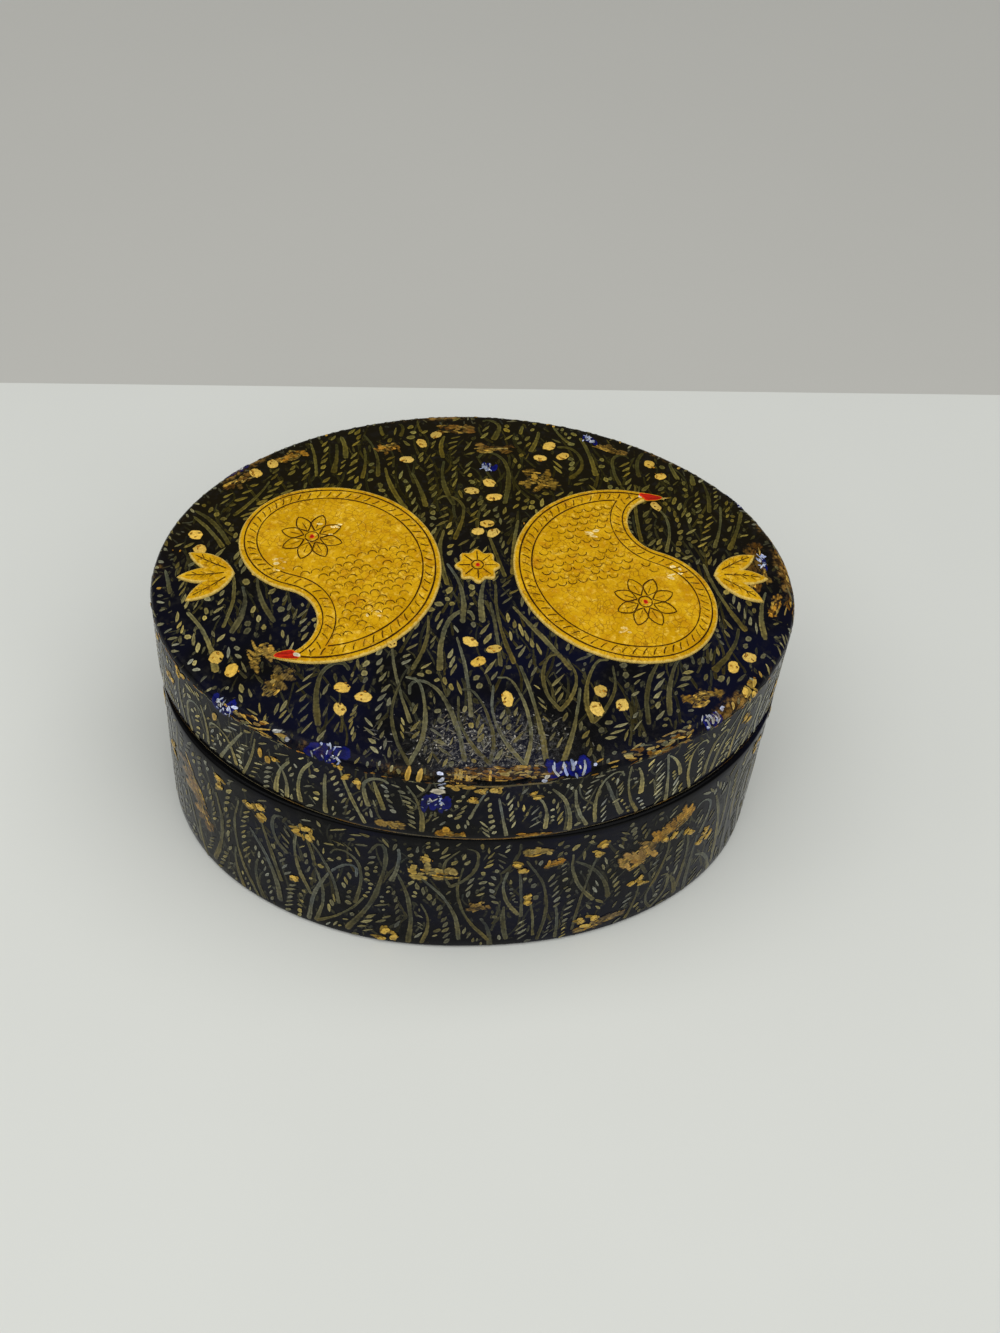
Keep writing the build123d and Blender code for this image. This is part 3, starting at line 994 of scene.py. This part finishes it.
# the flat rings are spread over the shoulder and the dome, and under them over the panel's underside
flat = places(lid_top)
ring = np.hypot(flat[:, 0], flat[:, 1])
along = (np.arctan2(flat[:, 1], flat[:, 0]) / (2 * np.pi) - 0.25) % 1 * lid_side.length
above = flat[:, 2] > 0.5
climb = np.clip((1 - ring) / (1 - INNER_RING), 0, 1) * 2.9
outline = lid_edge(along, np.where(above, 0.25 + climb, 0.0))
top_points = outline.copy()
on_dome = above & (ring < INNER_RING - 1e-4)
shrink = np.clip(ring / INNER_RING, 0, 1)
top_points[on_dome] = dome(*(outline[on_dome, axis] / MM * shrink[on_dome] for axis in (0, 1)))
under = outline * np.where(ring < 0.999, ring * 0.98, 1)[:, None]
under[:, 2] = np.maximum(side_high.z * MM, dome(under[:, 0] / MM, under[:, 1] / MM)[:, 2] - PANEL * MM)
top_points[~above] = under[~above]
move_to(lid_top, top_points)
bpy.ops.object.mode_set(mode="EDIT")
bpy.ops.mesh.select_all(action="SELECT")
bpy.ops.mesh.normals_make_consistent(inside=False)
finish(lid_top, "lid", "painted_lacquer", lacquer, "lid_top")
blacken(lid_top, lambda at, out: out.z < -0.5)


# ---------------------------------------------------------------------------------------------
# Painting on the lid's side and over its shoulder, in the same gouache. The shoulder is where
# hands have rubbed it: ochre and brown show through, with blue flowers here and there.
# ---------------------------------------------------------------------------------------------
GOLDEN, DUSTY, SANDY = (0.42, 0.27, 0.058), (0.26, 0.20, 0.075), (0.20, 0.13, 0.04)
IVORY, PALE_BLUE = (0.52, 0.47, 0.35), (0.34, 0.40, 0.60)
DARK, BLACK = (0.020, 0.011, 0.005), (0.0015, 0.0015, 0.0015)
side_painting = Painting(lid_edge, (0, -14), (lid_side.length, 5.0),
                         lambda along, up: (up > -13.4) & (up < 4.6), 23)
some = side_painting.some


def blue_flower(painting, spot, wide, high, angle, pulls=5):
    """A blue flower: a few broad blue touches, with white pulls across them or only flecks of white."""
    some = painting.some
    for index in range(4):
        place = planted([((index - 1.5) * wide * 0.24, some(-0.12, 0.12) * high)], spot, angle)[0]
        painting.dab(place, wide * 0.42, high * some(0.75, 1.0), some(-0.3, 0.3), painting.tint(BLUE), 1.0,
                     0.05, 12, 0.2)
    painting.raised += 0.05
    for index in range(pulls):
        at = (index - 0.5 * (pulls - 1)) * wide * 0.20 + some(-0.05, 0.05) * wide
        foot, tip = some(-0.42, -0.05) * high, some(0.10, 0.45) * high
        pull = planted([(at * 0.8, foot), (at + some(-0.3, 0.3), 0.5 * (foot + tip)), (at * 1.15, tip)],
                       spot, angle)
        width, pale = some(0.05, 0.17) * wide, WHITE if some() < 0.35 else PALE_BLUE
        painting.line(pull, width, painting.tint(pale) * some(0.6, 1.0), some(0.6, 0.95), 0.04, 0.3,
                      share=1, step=0.4)
    for _ in range(9 if pulls else 16):
        off = planted([(some(-0.48, 0.42) * wide, some(-0.40, 0.36) * high)], spot, angle)[0]
        painting.dab(off, some(0.5, 1.5), some(0.25, 0.6), some(0.2, 2.6),
                     painting.tint(WHITE if some() < 0.5 else PALE_BLUE), some(0.45, 0.95), 0.04, 9, 0.3)
    painting.raised -= 0.05


def rubbed_edge(low, high, count, tones, rise):
    """A stretch of the shoulder where the paint has gone and the torn paste board shows: small ragged
    chips, most of them lying along the edge."""
    for _ in range(count):
        spot = (some(low[0], high[0]), some(low[1], high[1]))
        tone = tones[side_painting.random.integers(len(tones))]
        side_painting.dab(spot, some(0.8, 2.8), some(0.25, 0.70), some(-0.35, 0.35),
                          side_painting.tint(tone), some(0.6, 1.0), rise * some(0.4, 1.0), 12, 0.30)


def touches(spots, length, width, turn, colour, strength, rise=0.05, sides=10):
    """A touch of one colour at each spot. Length, width and strength vary between two limits."""
    for spot in spots:
        side_painting.dab(spot, some(*length), some(*width), some(-turn, turn), side_painting.tint(colour),
                          some(*strength), rise, sides, 0.25)


# the torn ridge at the front, in two layers, and the other places where the edge is rubbed through
for raised, low, high, count, tones, rise in (
    (0.0, (134.6, 0.5), (150.2, 2.9), 90, (DARK, BROWN, (0.09, 0.045, 0.010), (0.17, 0.095, 0.018)), 0.05),
    (0.03, (134.8, 0.9), (149.8, 3.0), 90,
     (DARK, BROWN, (0.15, 0.09, 0.02), DUSTY, (0.34, 0.22, 0.06)), 0.09),
    (0.0, (157.0, 0.3), (173.0, 2.8), 60, (DUSTY, BROWN, STEM, GOLDEN, SANDY), 0.06),
    (0.0, (96.0, -0.2), (110.0, 2.2), 30, (BROWN, DUSTY, STEM, GOLDEN, SANDY), 0.05),
    (0.0, (203.0, 0.3), (222.0, 2.8), 44, (BROWN, DUSTY, BROWN, STEM, GOLDEN), 0.05),
):
    side_painting.raised = raised
    rubbed_edge(low, high, count, tones, rise)
side_painting.raised = 0.06
for _ in range(16):
    at = some(134.8, 142.0)
    fibre = [(at, some(0.3, 0.9)), (at + some(-0.15, 0.15), 1.5), (at + some(-0.3, 0.3), some(1.9, 2.7))]
    side_painting.line(fibre, some(0.32, 0.55), DARK if some() < 0.6 else GOLDEN, 0.95, 0.05, 0.3,
                       share=1, step=0.4)
# two dark cracks along the ridge and a paler fold under them, then golden touches at its left end
for raised, crack, width, colour, strength, rise, taper, step in (
    (0.13, [(138.2, 0.95), (140.0, 0.72), (142.3, 0.66), (144.5, 0.80), (147.0, 1.10)],
     0.95, BLACK, 2.0, 0.01, 0.3, 0.4),
    (0.13, [(135.6, 1.10), (137.5, 0.85), (139.0, 0.80)], 0.50, DARK, 1.5, 0.01, 0.2, 0.4),
    (0.06, [(138.5, 0.18), (141.5, -0.02), (144.0, 0.06), (147.6, 0.16), (150.0, -0.10)],
     0.50, (0.17, 0.13, 0.055), 1.0, 0.03, 0.2, 0.5),
):
    side_painting.raised = raised
    side_painting.line(crack, width, colour, strength, rise, taper, share=1, step=step)
touches(((135.2, -0.1), (136.6, 0.1), (137.8, -0.3), (136.0, -0.7)), (1.6, 2.4), (0.8, 1.2), 0.3, GOLDEN,
        (0.7, 1.0), 0.04, 12)

# blue flowers, each with a few white touches by it, and single golden petals
side_painting.raised = 0.03
for along, up, wide, high, tilt in (
    (133.2, -4.6, 4.2, 5.6, 0.1), (152.6, 2.0, 6.6, 3.8, 0.0), (116.5, 1.6, 6.4, 3.4, -0.1),
    (98.5, 0.8, 4.2, 3.6, -0.2), (177.0, 1.6, 3.2, 2.6, 0.1), (42.0, 1.0, 4.6, 3.0, 0.0),
    (231.0, 0.8, 4.4, 3.0, 0.2),
):
    blue_flower(side_painting, (along, up), wide, high, tilt, 4 if along > 150 else 0)
touches(((134.0, 0.2), (133.8, 1.0), (133.5, 1.9), (133.9, -0.7), (149.2, 1.2), (148.8, 0.5), (156.6, 1.8)),
        (0.9, 1.6), (0.5, 0.8), 0.6, WHITE, (0.6, 0.9))
side_painting.dab((133.4, -1.6), 2.4, 1.9, 0.2, IVORY, 0.9, 0.06, 12, 0.12)
for petal in ((128.9, 1.3), (130.6, 1.2), (96.5, -3.2), (105.5, -4.6), (106.8, -5.4)):
    side_painting.dab(petal, 2.7, 1.1, 1.45, side_painting.tint(GOLDEN), 1.0, 0.06, 12, 0.15)
touches(((100.4, 1.8), (99.6, 1.0), (108.3, 1.9), (110.2, 1.4), (176.4, 2.2), (179.5, 2.3)),
        (0.8, 1.7), (0.5, 0.9), 0.6, WHITE, (0.6, 0.9))

# a broken line of small dashes where the panel's edge meets the wall, and more above it
side_painting.raised = 0.0
for at in np.arange(0, lid_side.length, 0.95):
    spot = (at + some(-0.3, 0.3), some(0.0, 0.35))
    tone = (DASH, STEM, OCHRE, BROWN)[side_painting.random.integers(4)]
    if some() < 0.7:
        side_painting.dab(spot, some(0.8, 1.9), some(0.26, 0.46), some(-0.2, 0.2), side_painting.tint(tone),
                          some(0.5, 0.9), 0.05, 8, 0.25)
    tone = (DASH, DASH, STEM, GOLDEN)[side_painting.random.integers(4)]
    if some() < 0.6:
        spot = (at + some(-0.3, 0.3), some(0.9, 2.6))
        side_painting.dab(spot, some(1.0, 1.9), some(0.45, 0.75), some(0.9, 1.7), side_painting.tint(tone),
                          some(0.6, 0.95), 0.05, over=False)

# the side below it, painted as the base is
for rubbed_patch in (
    ((135.8, -12.4), 5.0, 2.0, 0.0, (0.44, 0.22, 0.02), 0.9, 5),
    ((126.5, -11.8), 4.5, 2.4, 0.1, (0.36, 0.24, 0.07), 0.85, 5),
    ((148.5, -13.0), 6.0, 0.8, 0.0, OCHRE, 0.8, 4),
):
    side_painting.smear(*rubbed_patch)
side_painting.ragged = 1
for along, up, count in (   # clusters of golden buds
    (138.5, -3.3, 1), (120.5, -2.6, 2), (186.0, -5.0, 2), (196.0, -8.0, 2), (84.0, -6.0, 2),
    (20.0, -5.0, 3), (60.0, -9.0, 2), (246.0, -6.0, 3), (268.0, -9.0, 2),
):
    side_painting.cluster((along, up), count, 0.72)


def side_fade(along, up):
    """The paint on the upright side is paler than over the shoulder, and palest at the right."""
    if up < 0:
        return np.array([1.38, 1.38, 1.45]) * (1.25 if along > 164 else 1.0)
    return np.array([0.86, 0.83, 0.74])


side_painting.fade = side_fade
underpaint(side_painting, 260, 0.8)
side_painting.inside = lambda along, up: (up > -13.4) & (up < 3.1)
for at in side_painting.random.permutation(np.arange(0, lid_side.length, 2.2)):
    over_shoulder = [(at, some(0.0, 0.6)), (at + some(-0.3, 0.3), 1.6), (at + some(-0.5, 0.5), 3.0)]
    side_painting.row(over_shoulder, 1, 0.85)
plant_rows(side_painting, ((-13.2, 11, 15.5, 3.9), (-12.8, 6, 11, 4.6), (-7.5, 7, 10.5, 4.2)), 0.85)
fill_ground(side_painting, 6000, 0.85)
fill_ground(side_painting, 4000, 0.62)
painting_on_lid_side = side_painting.wrap("painting_on_lid_side")
finish(painting_on_lid_side, "lid", "painted_lacquer", lacquer)


# ---------------------------------------------------------------------------------------------
# Painting on the domed top, which grows towards the back. Nothing is painted where the raised
# gold will lie, so the strokes stop just inside its outlines.
# ---------------------------------------------------------------------------------------------
def arc(middle, radius, begin, sweep, count):
    """Points on an arc, its angles in degrees."""
    turn = np.radians(begin + np.linspace(0, sweep, count))
    return np.array(middle) + radius * np.stack([np.cos(turn), np.sin(turn)], 1)


def paisley_outline():
    """A paisley: a round bulb that runs into a curled tip. Its foot is at the top of its circle."""
    half, bulb, tip_turn, neck_turn = 18.5, 11.5, math.radians(38), math.radians(32)
    tip = half * np.array([math.sin(tip_turn), 1 + math.cos(tip_turn)])
    way = np.array([math.sin(neck_turn), math.cos(neck_turn)])
    neck = np.array([0, bulb]) + bulb * way
    curl = ((tip - neck) @ (tip - neck)) / (2 * ((tip - (0, bulb)) @ way - bulb))
    middle = np.array([0, bulb]) + (bulb + curl) * way
    begin, end = (math.degrees(math.atan2(*(point - middle)[::-1])) for point in (tip, neck))
    back = arc((0, half), half, -90, -218, 120)
    inner = arc(middle, curl, begin, (end - begin) % 360, 40)
    under = arc((0, bulb), bulb, 90 - math.degrees(neck_turn), -180 + math.degrees(neck_turn), 56)
    return np.vstack([back[:-1], inner[:-1], under[:-1]])[::-1] - (0, half)


PAISLEY_OFFSET, PAISLEY_LEAN = 24.1, math.radians(14)
LEAF_FOOT, LEAF_LENGTH, LEAF_HALF = 37.6, 9.0, 1.6


def on_lid(points, hand):
    """Points of the right-hand paisley, put in their place on the right of the lid or the left."""
    c, s = toward(PAISLEY_LEAN)
    x, y = np.asarray(points, float).T
    return hand * np.stack([x * c - y * s + PAISLEY_OFFSET, x * s + y * c], 1)


def leaf_outline(lean):
    """One lens-shaped leaf that leans from its foot, at the right of the lid."""
    radius = (LEAF_HALF**2 + (LEAF_LENGTH / 2)**2) / (2 * LEAF_HALF)
    wide = math.degrees(math.asin(LEAF_LENGTH / 2 / radius))
    right = arc((LEAF_HALF - radius, LEAF_LENGTH / 2), radius, -wide, 2 * wide, 17)
    left = arc((radius - LEAF_HALF, LEAF_LENGTH / 2), radius, 180 - wide, 2 * wide, 17)
    lens = np.vstack([right[:-1], left[:-1]])
    c, s = toward(lean)
    return np.stack([lens[:, 1], -lens[:, 0]], 1) @ np.array([[c, s], [-s, c]]) + (LEAF_FOOT, 0)


def within(outline, spots):
    """Whether each spot is inside a closed outline."""
    x, y = np.asarray(spots, float).T
    found = np.zeros(len(x), bool)
    for (ax, ay), (bx, by) in zip(outline, np.roll(outline, -1, 0)):
        crosses = (ay > y) != (by > y)
        found ^= crosses & (x < (bx - ax) * (y - ay) / (by - ay + 1e-12) + ax)
    return found


def from_outline(outline, spots):
    """How far each spot is from a closed outline."""
    spots = np.asarray(spots, float)
    nearest = np.full(len(spots), 1e9)
    for a, b in zip(outline, np.roll(outline, -1, 0)):
        t = np.clip(((spots - a) @ (b - a)) / ((b - a) @ (b - a)), 0, 1)[:, None]
        nearest = np.minimum(nearest, np.hypot(*(spots - a - t * (b - a)).T))
    return nearest


turns = np.linspace(0, 2 * np.pi, 97)[:-1]
rosette = (3.6 - 0.35 * (1 - np.cos(8 * turns)))[:, None] * np.stack([np.cos(turns), np.sin(turns)], 1)
leaves = [leaf_outline(math.radians(lean)) for lean in (-34, 0, 34)]
gold_outlines = {
    "paisley_right": [on_lid(paisley_outline(), 1)],
    "paisley_left": [on_lid(paisley_outline(), -1)],
    "rosette": [rosette],
    "leaves_right": leaves,
    "leaves_left": [-leaf for leaf in leaves],
}


def on_top(x, y):
    """Where the dome is painted: inside the shoulder, up to a wavering line."""
    return x**2 + (y * STRETCH)**2 < (49.0 + 0.6 * np.sin(0.9 * x) * np.sin(0.8 * y))**2


def top_fade(x, y):
    """The varnish has yellowed the paint towards the back. It is palest at the front's left end, where a
    painted reflection of the light lies on the shoulder, and darkest at the front's right."""
    yellow = np.clip((y + 14) / 32, 0, 1)
    # painted reflection: the strokes at the left end of the front are made paler
    left = np.clip((-x - 36) / 6, 0, 1) * np.clip((4 - y) / 10, 0, 1)
    right = np.clip((x - 5) / 10, 0, 1) * np.clip((-12 - y) / 6, 0, 1)
    tone = np.array([0.77, 0.74, 0.63]) - np.array([0.13, 0.17, 0.41]) * yellow
    return tone * (1 + 0.6 * left) * (1 - 0.2 * right)


top_painting = Painting(dome, (-52, -40), (52, 40), on_top, 37)
squares = np.stack(np.meshgrid(*(np.arange(n) for n in top_painting.taken.shape), indexing="ij"), -1)
squares = squares.reshape(-1, 2) * CELL + top_painting.low
for outline in sum(gold_outlines.values(), []):
    covered = within(outline, squares) & (from_outline(outline, squares) > 0.5)
    top_painting.taken |= covered.reshape(top_painting.taken.shape)
LAP = 2.6                   # strokes on the shoulder that reach higher than this lie on the dome too
for spots in side_painting.corners:
    if spots[:, 1].max() > LAP:
        for shrink in (0.0, 0.5, 1.0):
            near = spots[:, :2] * (1 - shrink) + spots[:, :2].mean(0) * shrink
            over = lid_edge(*near[near[:, 1] > LAP].T) / MM
            top_painting.taken[top_painting.cells(over[:, :2])] = True

for x, y, count in (        # clusters of golden buds
    (-0.3, -16.6, 3), (-20.0, -24.8, 3), (-45.0, 7.1, 3), (-34.0, 24.5, 2), (3.4, -25.3, 1),
    (18.4, -25.6, 3), (2.0, 17.5, 3), (-6.5, 31.0, 2), (13.5, 27.5, 3), (31.0, 24.5, 2), (40.0, -17.5, 2),
    (-38.5, -17.5, 2), (9.0, 9.0, 1), (-10.5, 25.5, 1),
):
    top_painting.cluster((x, y), count, 0.95, 1.45)
for flower in (((20.7, 31.9), 2.6, 2.2, 0.4), ((46.0, 3.8), 1.6, 4.4, 0.0), ((3.0, 23.5), 2.6, 2.2, 0.3)):
    blue_flower(top_painting, *flower, 0)
RUST = (0.24, 0.14, 0.025)
for rubbed_patch in (       # its middle, length, width, angle and colour
    ((10.9, 20.6), 7.0, 4.4, -0.15, (0.34, 0.21, 0.030)),
    ((45.0, 3.0), 12.0, 3.4, 1.5, BROWN),
    ((46.8, -5.5), 6.0, 2.4, 1.2, OCHRE),
    ((-29.5, 27.2), 6.0, 2.2, 0.5, OCHRE),
    ((-33.2, -16.0), 4.6, 3.6, 0.4, GOLDEN),
    ((-30.4, -21.2), 6.4, 3.0, 0.9, (0.17, 0.12, 0.035)),
    ((-2.0, 34.0), 7.0, 2.2, 0.0, BROWN),
    ((33.0, -24.0), 7.0, 2.4, 0.4, RUST),
    ((4.5, 28.5), 7.0, 1.8, 0.1, BROWN),
    ((-38.0, 21.5), 6.0, 2.2, 0.6, BROWN),
    ((24.0, 29.5), 6.0, 2.0, -0.4, RUST),
    ((-13.6, 29.0), 5.0, 2.0, 0.1, OCHRE),
):
    top_painting.smear(*rubbed_patch, 0.62, 6)
top_painting.fade = top_fade
underpaint(top_painting, 420, 1.0)
plant_rows(top_painting, (
    (-37.0, 11, 18, 3.8), (-28.5, 10, 16, 4.2), (-20.0, 10, 16, 4.2), (-11.5, 9, 15, 4.2),
    (-3.0, 9, 15, 4.2), (5.5, 9, 14, 4.2), (13.5, 9, 14, 4.2), (21.0, 8, 12, 4.0), (27.0, 6, 10, 4.0),
    (32.0, 4, 6, 4.0),
), 1.0)
fill_ground(top_painting, 9000, 1.0)
fill_ground(top_painting, 7000, 0.7)

# fine pale scratches and specks in the varnish, near the front edge
some, normal = top_painting.some, top_painting.random.normal
for _ in range(190):
    spot = np.array([normal(-1.0, 6.5), normal(-33.2, 2.2)])
    away = some(0.25, 1.3) * toward(some(-0.6, 1.3))
    if top_painting.inside(*(spot + away)) and top_painting.inside(*(spot - away)):
        top_painting.line([spot - away, spot + 0.2 * away[::-1], spot + away], some(0.12, 0.24),
                          np.array([0.30, 0.29, 0.27]) * some(0.4, 1.0), some(0.3, 0.75), 0.004, 0.3,
                          share=1, step=0.9)
        for _ in range(2):
            top_painting.dab(spot + normal(0, 1.4, 2), some(0.25, 0.75), some(0.18, 0.42), some(0, 3.1),
                             np.array([0.42, 0.415, 0.40]) * some(0.3, 1.1), some(0.3, 0.8), 0.006, 7, 0.3)
painting_on_top = top_painting.wrap("painting_on_lid_top")
finish(painting_on_top, "lid", "painted_lacquer", lacquer)


# ---------------------------------------------------------------------------------------------
# Raised gold on the lid: paisleys, a rosette and leaves, built up in layers of gesso with a
# brush, gilded, and varnished with the rest of the lid.
# ---------------------------------------------------------------------------------------------
def gilt_gesso(name):
    """Old gold over gesso: mottled, crazed all over with fine brown cracks, and speckled."""
    look = Coating(name)
    gold = look.mix(look.noise(0.22, 4.0, 0.36, 0.64), (0.50, 0.262, 0.002), (0.62, 0.352, 0.008))
    gold = look.mix(look.noise(1.1, 5.0, 0.55, 0.78), gold, (0.82, 0.54, 0.075))
    gold = look.mix(look.noise(0.5, 6.0, 0.50, 0.80), gold, (0.46, 0.200, 0.004))
    gold = look.mix(look.noise(2.6, 5.0, 0.55, 0.80), gold, (0.33, 0.155, 0.006))
    wander = look.add("ShaderNodeTexNoise", {"Vector": look.place, "Scale": 0.8, "Detail": 2.0})["Color"]
    bent = look.vector("MULTIPLY_ADD", wander, (0.9, 0.9, 0.9), look.place)
    cells = look.add("ShaderNodeTexVoronoi", {"Vector": bent, "Scale": 1.05}, feature="DISTANCE_TO_EDGE")
    cracks = look.times(look.between(cells["Distance"], 0.075, 0.02), look.noise(0.3, 3.0, 0.36, 0.58))
    gold = look.mix(look.times(cracks, 0.72), gold, (0.20, 0.085, 0.004))
    specks = look.noise(4.2, 2.0, 0.68, 0.76)
    gold = look.mix(specks, gold, (0.12, 0.045, 0.004))
    look.varnish(0.8, 0.35, 0.00016, 0.20)
    return look.done(look.strokes_over(gold), 0.5, 0.0)


gilt = gilt_gesso("gilt_gesso")
RELIEF = 0.45               # how high the gold stands above the dome
GRID = 1.4                  # side of the squares that it is cut in, so that it can follow the dome


def raised_gold(name, outlines):
    """Build up flat outlines into low rounded relief, and lay it on the dome."""
    parts = []
    for outline in outlines:
        bpy.ops.object.select_all(action="DESELECT")
        bpy.ops.mesh.primitive_circle_add(vertices=len(outline), fill_type="NGON")
        part = bpy.context.object
        move_to(part, np.column_stack([outline, 0 * outline[:, 0]]) * MM)
        start(name)
        bpy.ops.mesh.extrude_region_move(TRANSFORM_OT_translate={"value": (0, 0, MM)})
        for width in (0.10, 0.14, 0.20):
            bpy.ops.mesh.inset(thickness=width * MM)
        for axis, way in enumerate(((1, 0, 0), (0, 1, 0))):
            for at in np.arange(outline[:, axis].min() + GRID / 2, outline[:, axis].max(), GRID):
                bpy.ops.mesh.select_all(action="SELECT")
                bpy.ops.mesh.bisect(plane_co=at * MM * np.array(way), plane_no=way)
        bpy.ops.object.mode_set(mode="OBJECT")
        flat = places(part) / MM
        far = from_outline(outline, flat[:, :2])
        full = np.clip(far / 0.44, 0, 1)
        high = RELIEF * (0.35 + 0.65 * np.sqrt(1 - (1 - full)**2))
        high -= 0.03 * (1 + np.sin(1.1 * flat[:, 0]) * np.sin(0.9 * flat[:, 1]))
        # painted highlight: the gold is made paler towards its outline, where the raised edge catches the
        # light
        painted_edge_highlight = np.tile([0.80, 0.56, 0.13, 0.0], (len(flat), 1))
        painted_edge_highlight[:, 3] = 0.72 * (1 - full) + 0.16 * (far < 0.6)
        note(part.data, "paint", painted_edge_highlight)
        move_to(part, dome(flat[:, 0], flat[:, 1], np.where(flat[:, 2] > 0.5, high, -0.05)))
        parts.append(part)
    for part in parts:
        part.select_set(True)
    bpy.context.view_layer.objects.active = parts[0]
    if len(parts) > 1:
        bpy.ops.object.join()
    piece = bpy.context.object
    piece.name = piece.data.name = "gilt_" + name
    finish(piece, "lid", "gilt_gesso", gilt, "gold_" + name)


for name, outlines in gold_outlines.items():
    raised_gold(name, outlines)


# ---------------------------------------------------------------------------------------------
# Fine lines on the gold: brown ink laid on with the finest brush after the gilding, with red
# tips, and pale places where the gold is worn, which are partly painted glints.
# ---------------------------------------------------------------------------------------------
INK, RED, WORN_AND_GLINT = (0.040, 0.016, 0.003), (0.46, 0.018, 0.008), (0.86, 0.68, 0.30)


def gold_top(x, y, lift=0.0):
    """Points on the top of the raised gold, which the fine lines are drawn on."""
    return dome(x, y, RELIEF - 0.01 + lift)


drawing = Painting(gold_top, (-52, -40), (52, 40), lambda x, y: np.isfinite(x), 51)
some, normal = drawing.some, drawing.random.normal


def ink(points, width=0.42, strength=0.85, step=0.6):
    """A fine brown line over the gold."""
    drawing.line(points, width, INK, strength, 0.006, 0.3, share=1, step=step)


def inset_line(outline, inward):
    """Runs of points that follow a closed outline at a distance inside it."""
    way = np.roll(outline, -1, 0) - np.roll(outline, 1, 0)
    way /= np.hypot(*way.T)[:, None]
    moved = outline + inward * left_of(way)
    good = within(outline, moved) & (from_outline(outline, moved) > inward - 0.06)
    runs = [[]]
    for index in np.roll(np.arange(len(moved)), -np.argmin(good)):
        if good[index]:
            runs[-1].append(moved[index])
        elif runs[-1]:
            runs.append([])
    return [run for run in runs if len(run) > 3]


bulb = np.array([0.0, -7.0])
outline = paisley_outline()
tip = outline[np.argmax(outline[:, 1] + 0.8 * outline[:, 0])]
beak = tip + np.array([-3.9, 1.0])
scales = np.stack(np.meshgrid(np.arange(-15.0, 12.0, 1.7), np.arange(-0.6, 16.0, 1.35)), -1)
scales[1::2, :, 0] += 0.85
scales = scales.reshape(-1, 2)
scales = scales[within(outline, scales) & (from_outline(outline, scales) > 3.5)
                & (np.hypot(*(scales - bulb).T) > 7.0)]
for hand in (1, -1):
    # two lines along the edge, with slanted ticks between them
    for inward, width in ((0.95, 0.40), (2.9, 0.34)):
        for run in inset_line(outline, inward):
            ink(on_lid(run[::3] + run[-1:], hand), width)
    for run in inset_line(outline, 1.35):
        for place, after in zip(run[2:-2:3], run[3:-1:3]):
            forward = (after - place) / np.hypot(*(after - place))
            inward = left_of(forward)
            tick = [place, place + 0.7 * inward + 0.30 * forward, place + 1.25 * inward + 0.75 * forward]
            ink(on_lid(tick, hand), 0.30, 0.7, 0.4)

    # a flower of eight petals in the bulb, and rows of scales over the rest
    for index in range(8):
        out = toward(index * math.pi / 4 + 0.2)
        aside = 1.15 * left_of(out)
        petal = [bulb + 1.3 * out, bulb + 3.0 * out + aside, bulb + 5.0 * out, bulb + 3.0 * out - aside,
                 bulb + 1.3 * out]
        ink(on_lid(petal, hand), 0.34)
        ink(on_lid([bulb + 1.9 * out, bulb + 3.6 * out], hand), 0.26, 0.6, 0.4)
    ink(on_lid(arc(bulb, 1.1, 0, 360, 9), hand), 0.34)
    drawing.dab(on_lid([bulb], hand)[0], 1.1, 1.1, 0.0, RED, 0.9, 0.01, 10, 0.1)
    for spot in scales:
        if some() < 0.86:
            ink(on_lid(arc(spot, 0.75, 180, 180, 5), hand), 0.26, 0.62, 0.4)

    # worn places, partly painted glints, of which the first is the same on both paisleys, and the red tip
    for worn, count in (((6.5, -2.5), 8), ((-5.5, -11.5 * hand), 4), ((-3.5, 8.0 * hand), 5)):
        for _ in range(count):
            spot = on_lid([worn + normal(0, 0.75, 2)], hand)[0]
            drawing.dab(spot, some(0.5, 1.9), some(0.3, 0.8), some(-0.6, 0.6),
                        np.array(WORN_AND_GLINT) * some(0.8, 1.1), some(0.4, 0.9), 0.006, 9, 0.3)
    for shift, width in (((0.0, 0.0), 1.7), ((0.25, -0.55), 1.4), ((-0.2, 0.45), 1.1)):
        pull = [beak + shift, 0.5 * (beak + tip) + 0.8 * np.array(shift), tip + (-0.45, 0.1)]
        drawing.line(on_lid(pull, hand), width, RED, 1.0, 0.02, 0.6, share=1)
    drawing.dab(on_lid([beak + (0.2, 0.0)], hand)[0], 1.5, 1.0, 0.9 * hand, IVORY, 1.0, 0.02, 10, 0.15)

# the rosette's eight ribs and red middle
for index in range(8):
    out = toward(index * math.pi / 4)
    ink([1.1 * out, 2.9 * out], 0.30, 0.8, 0.4)
ink(arc((0, 0), 0.95, 0, 360, 9), 0.32)
drawing.dab((0, 0), 0.9, 0.9, 0.0, RED, 0.9, 0.01, 10, 0.1)

# a rib down each leaf, with three pairs of veins
foot = np.array([LEAF_FOOT, 0.0])
for hand in (1, -1):
    for lean in (0.593, 0.0, -0.593):       # as the three leaves lean
        way = toward(lean)
        aside = left_of(way)
        rib = np.array([foot + 1.6 * way, foot + 4.6 * way + 0.12 * aside, foot + 7.6 * way])
        ink(hand * rib, 0.32, 0.8)
        for at in (3.0, 4.4, 5.8):
            for side in (0.62, -0.62):
                vein = np.array([foot + at * way, foot + (at + 0.9) * way + side * aside])
                ink(hand * vein, 0.26, 0.6, 0.4)
drawing_on_gold = drawing.wrap("fine_lines_on_gold")
finish(drawing_on_gold, "lid", "gilt_gesso", gilt)
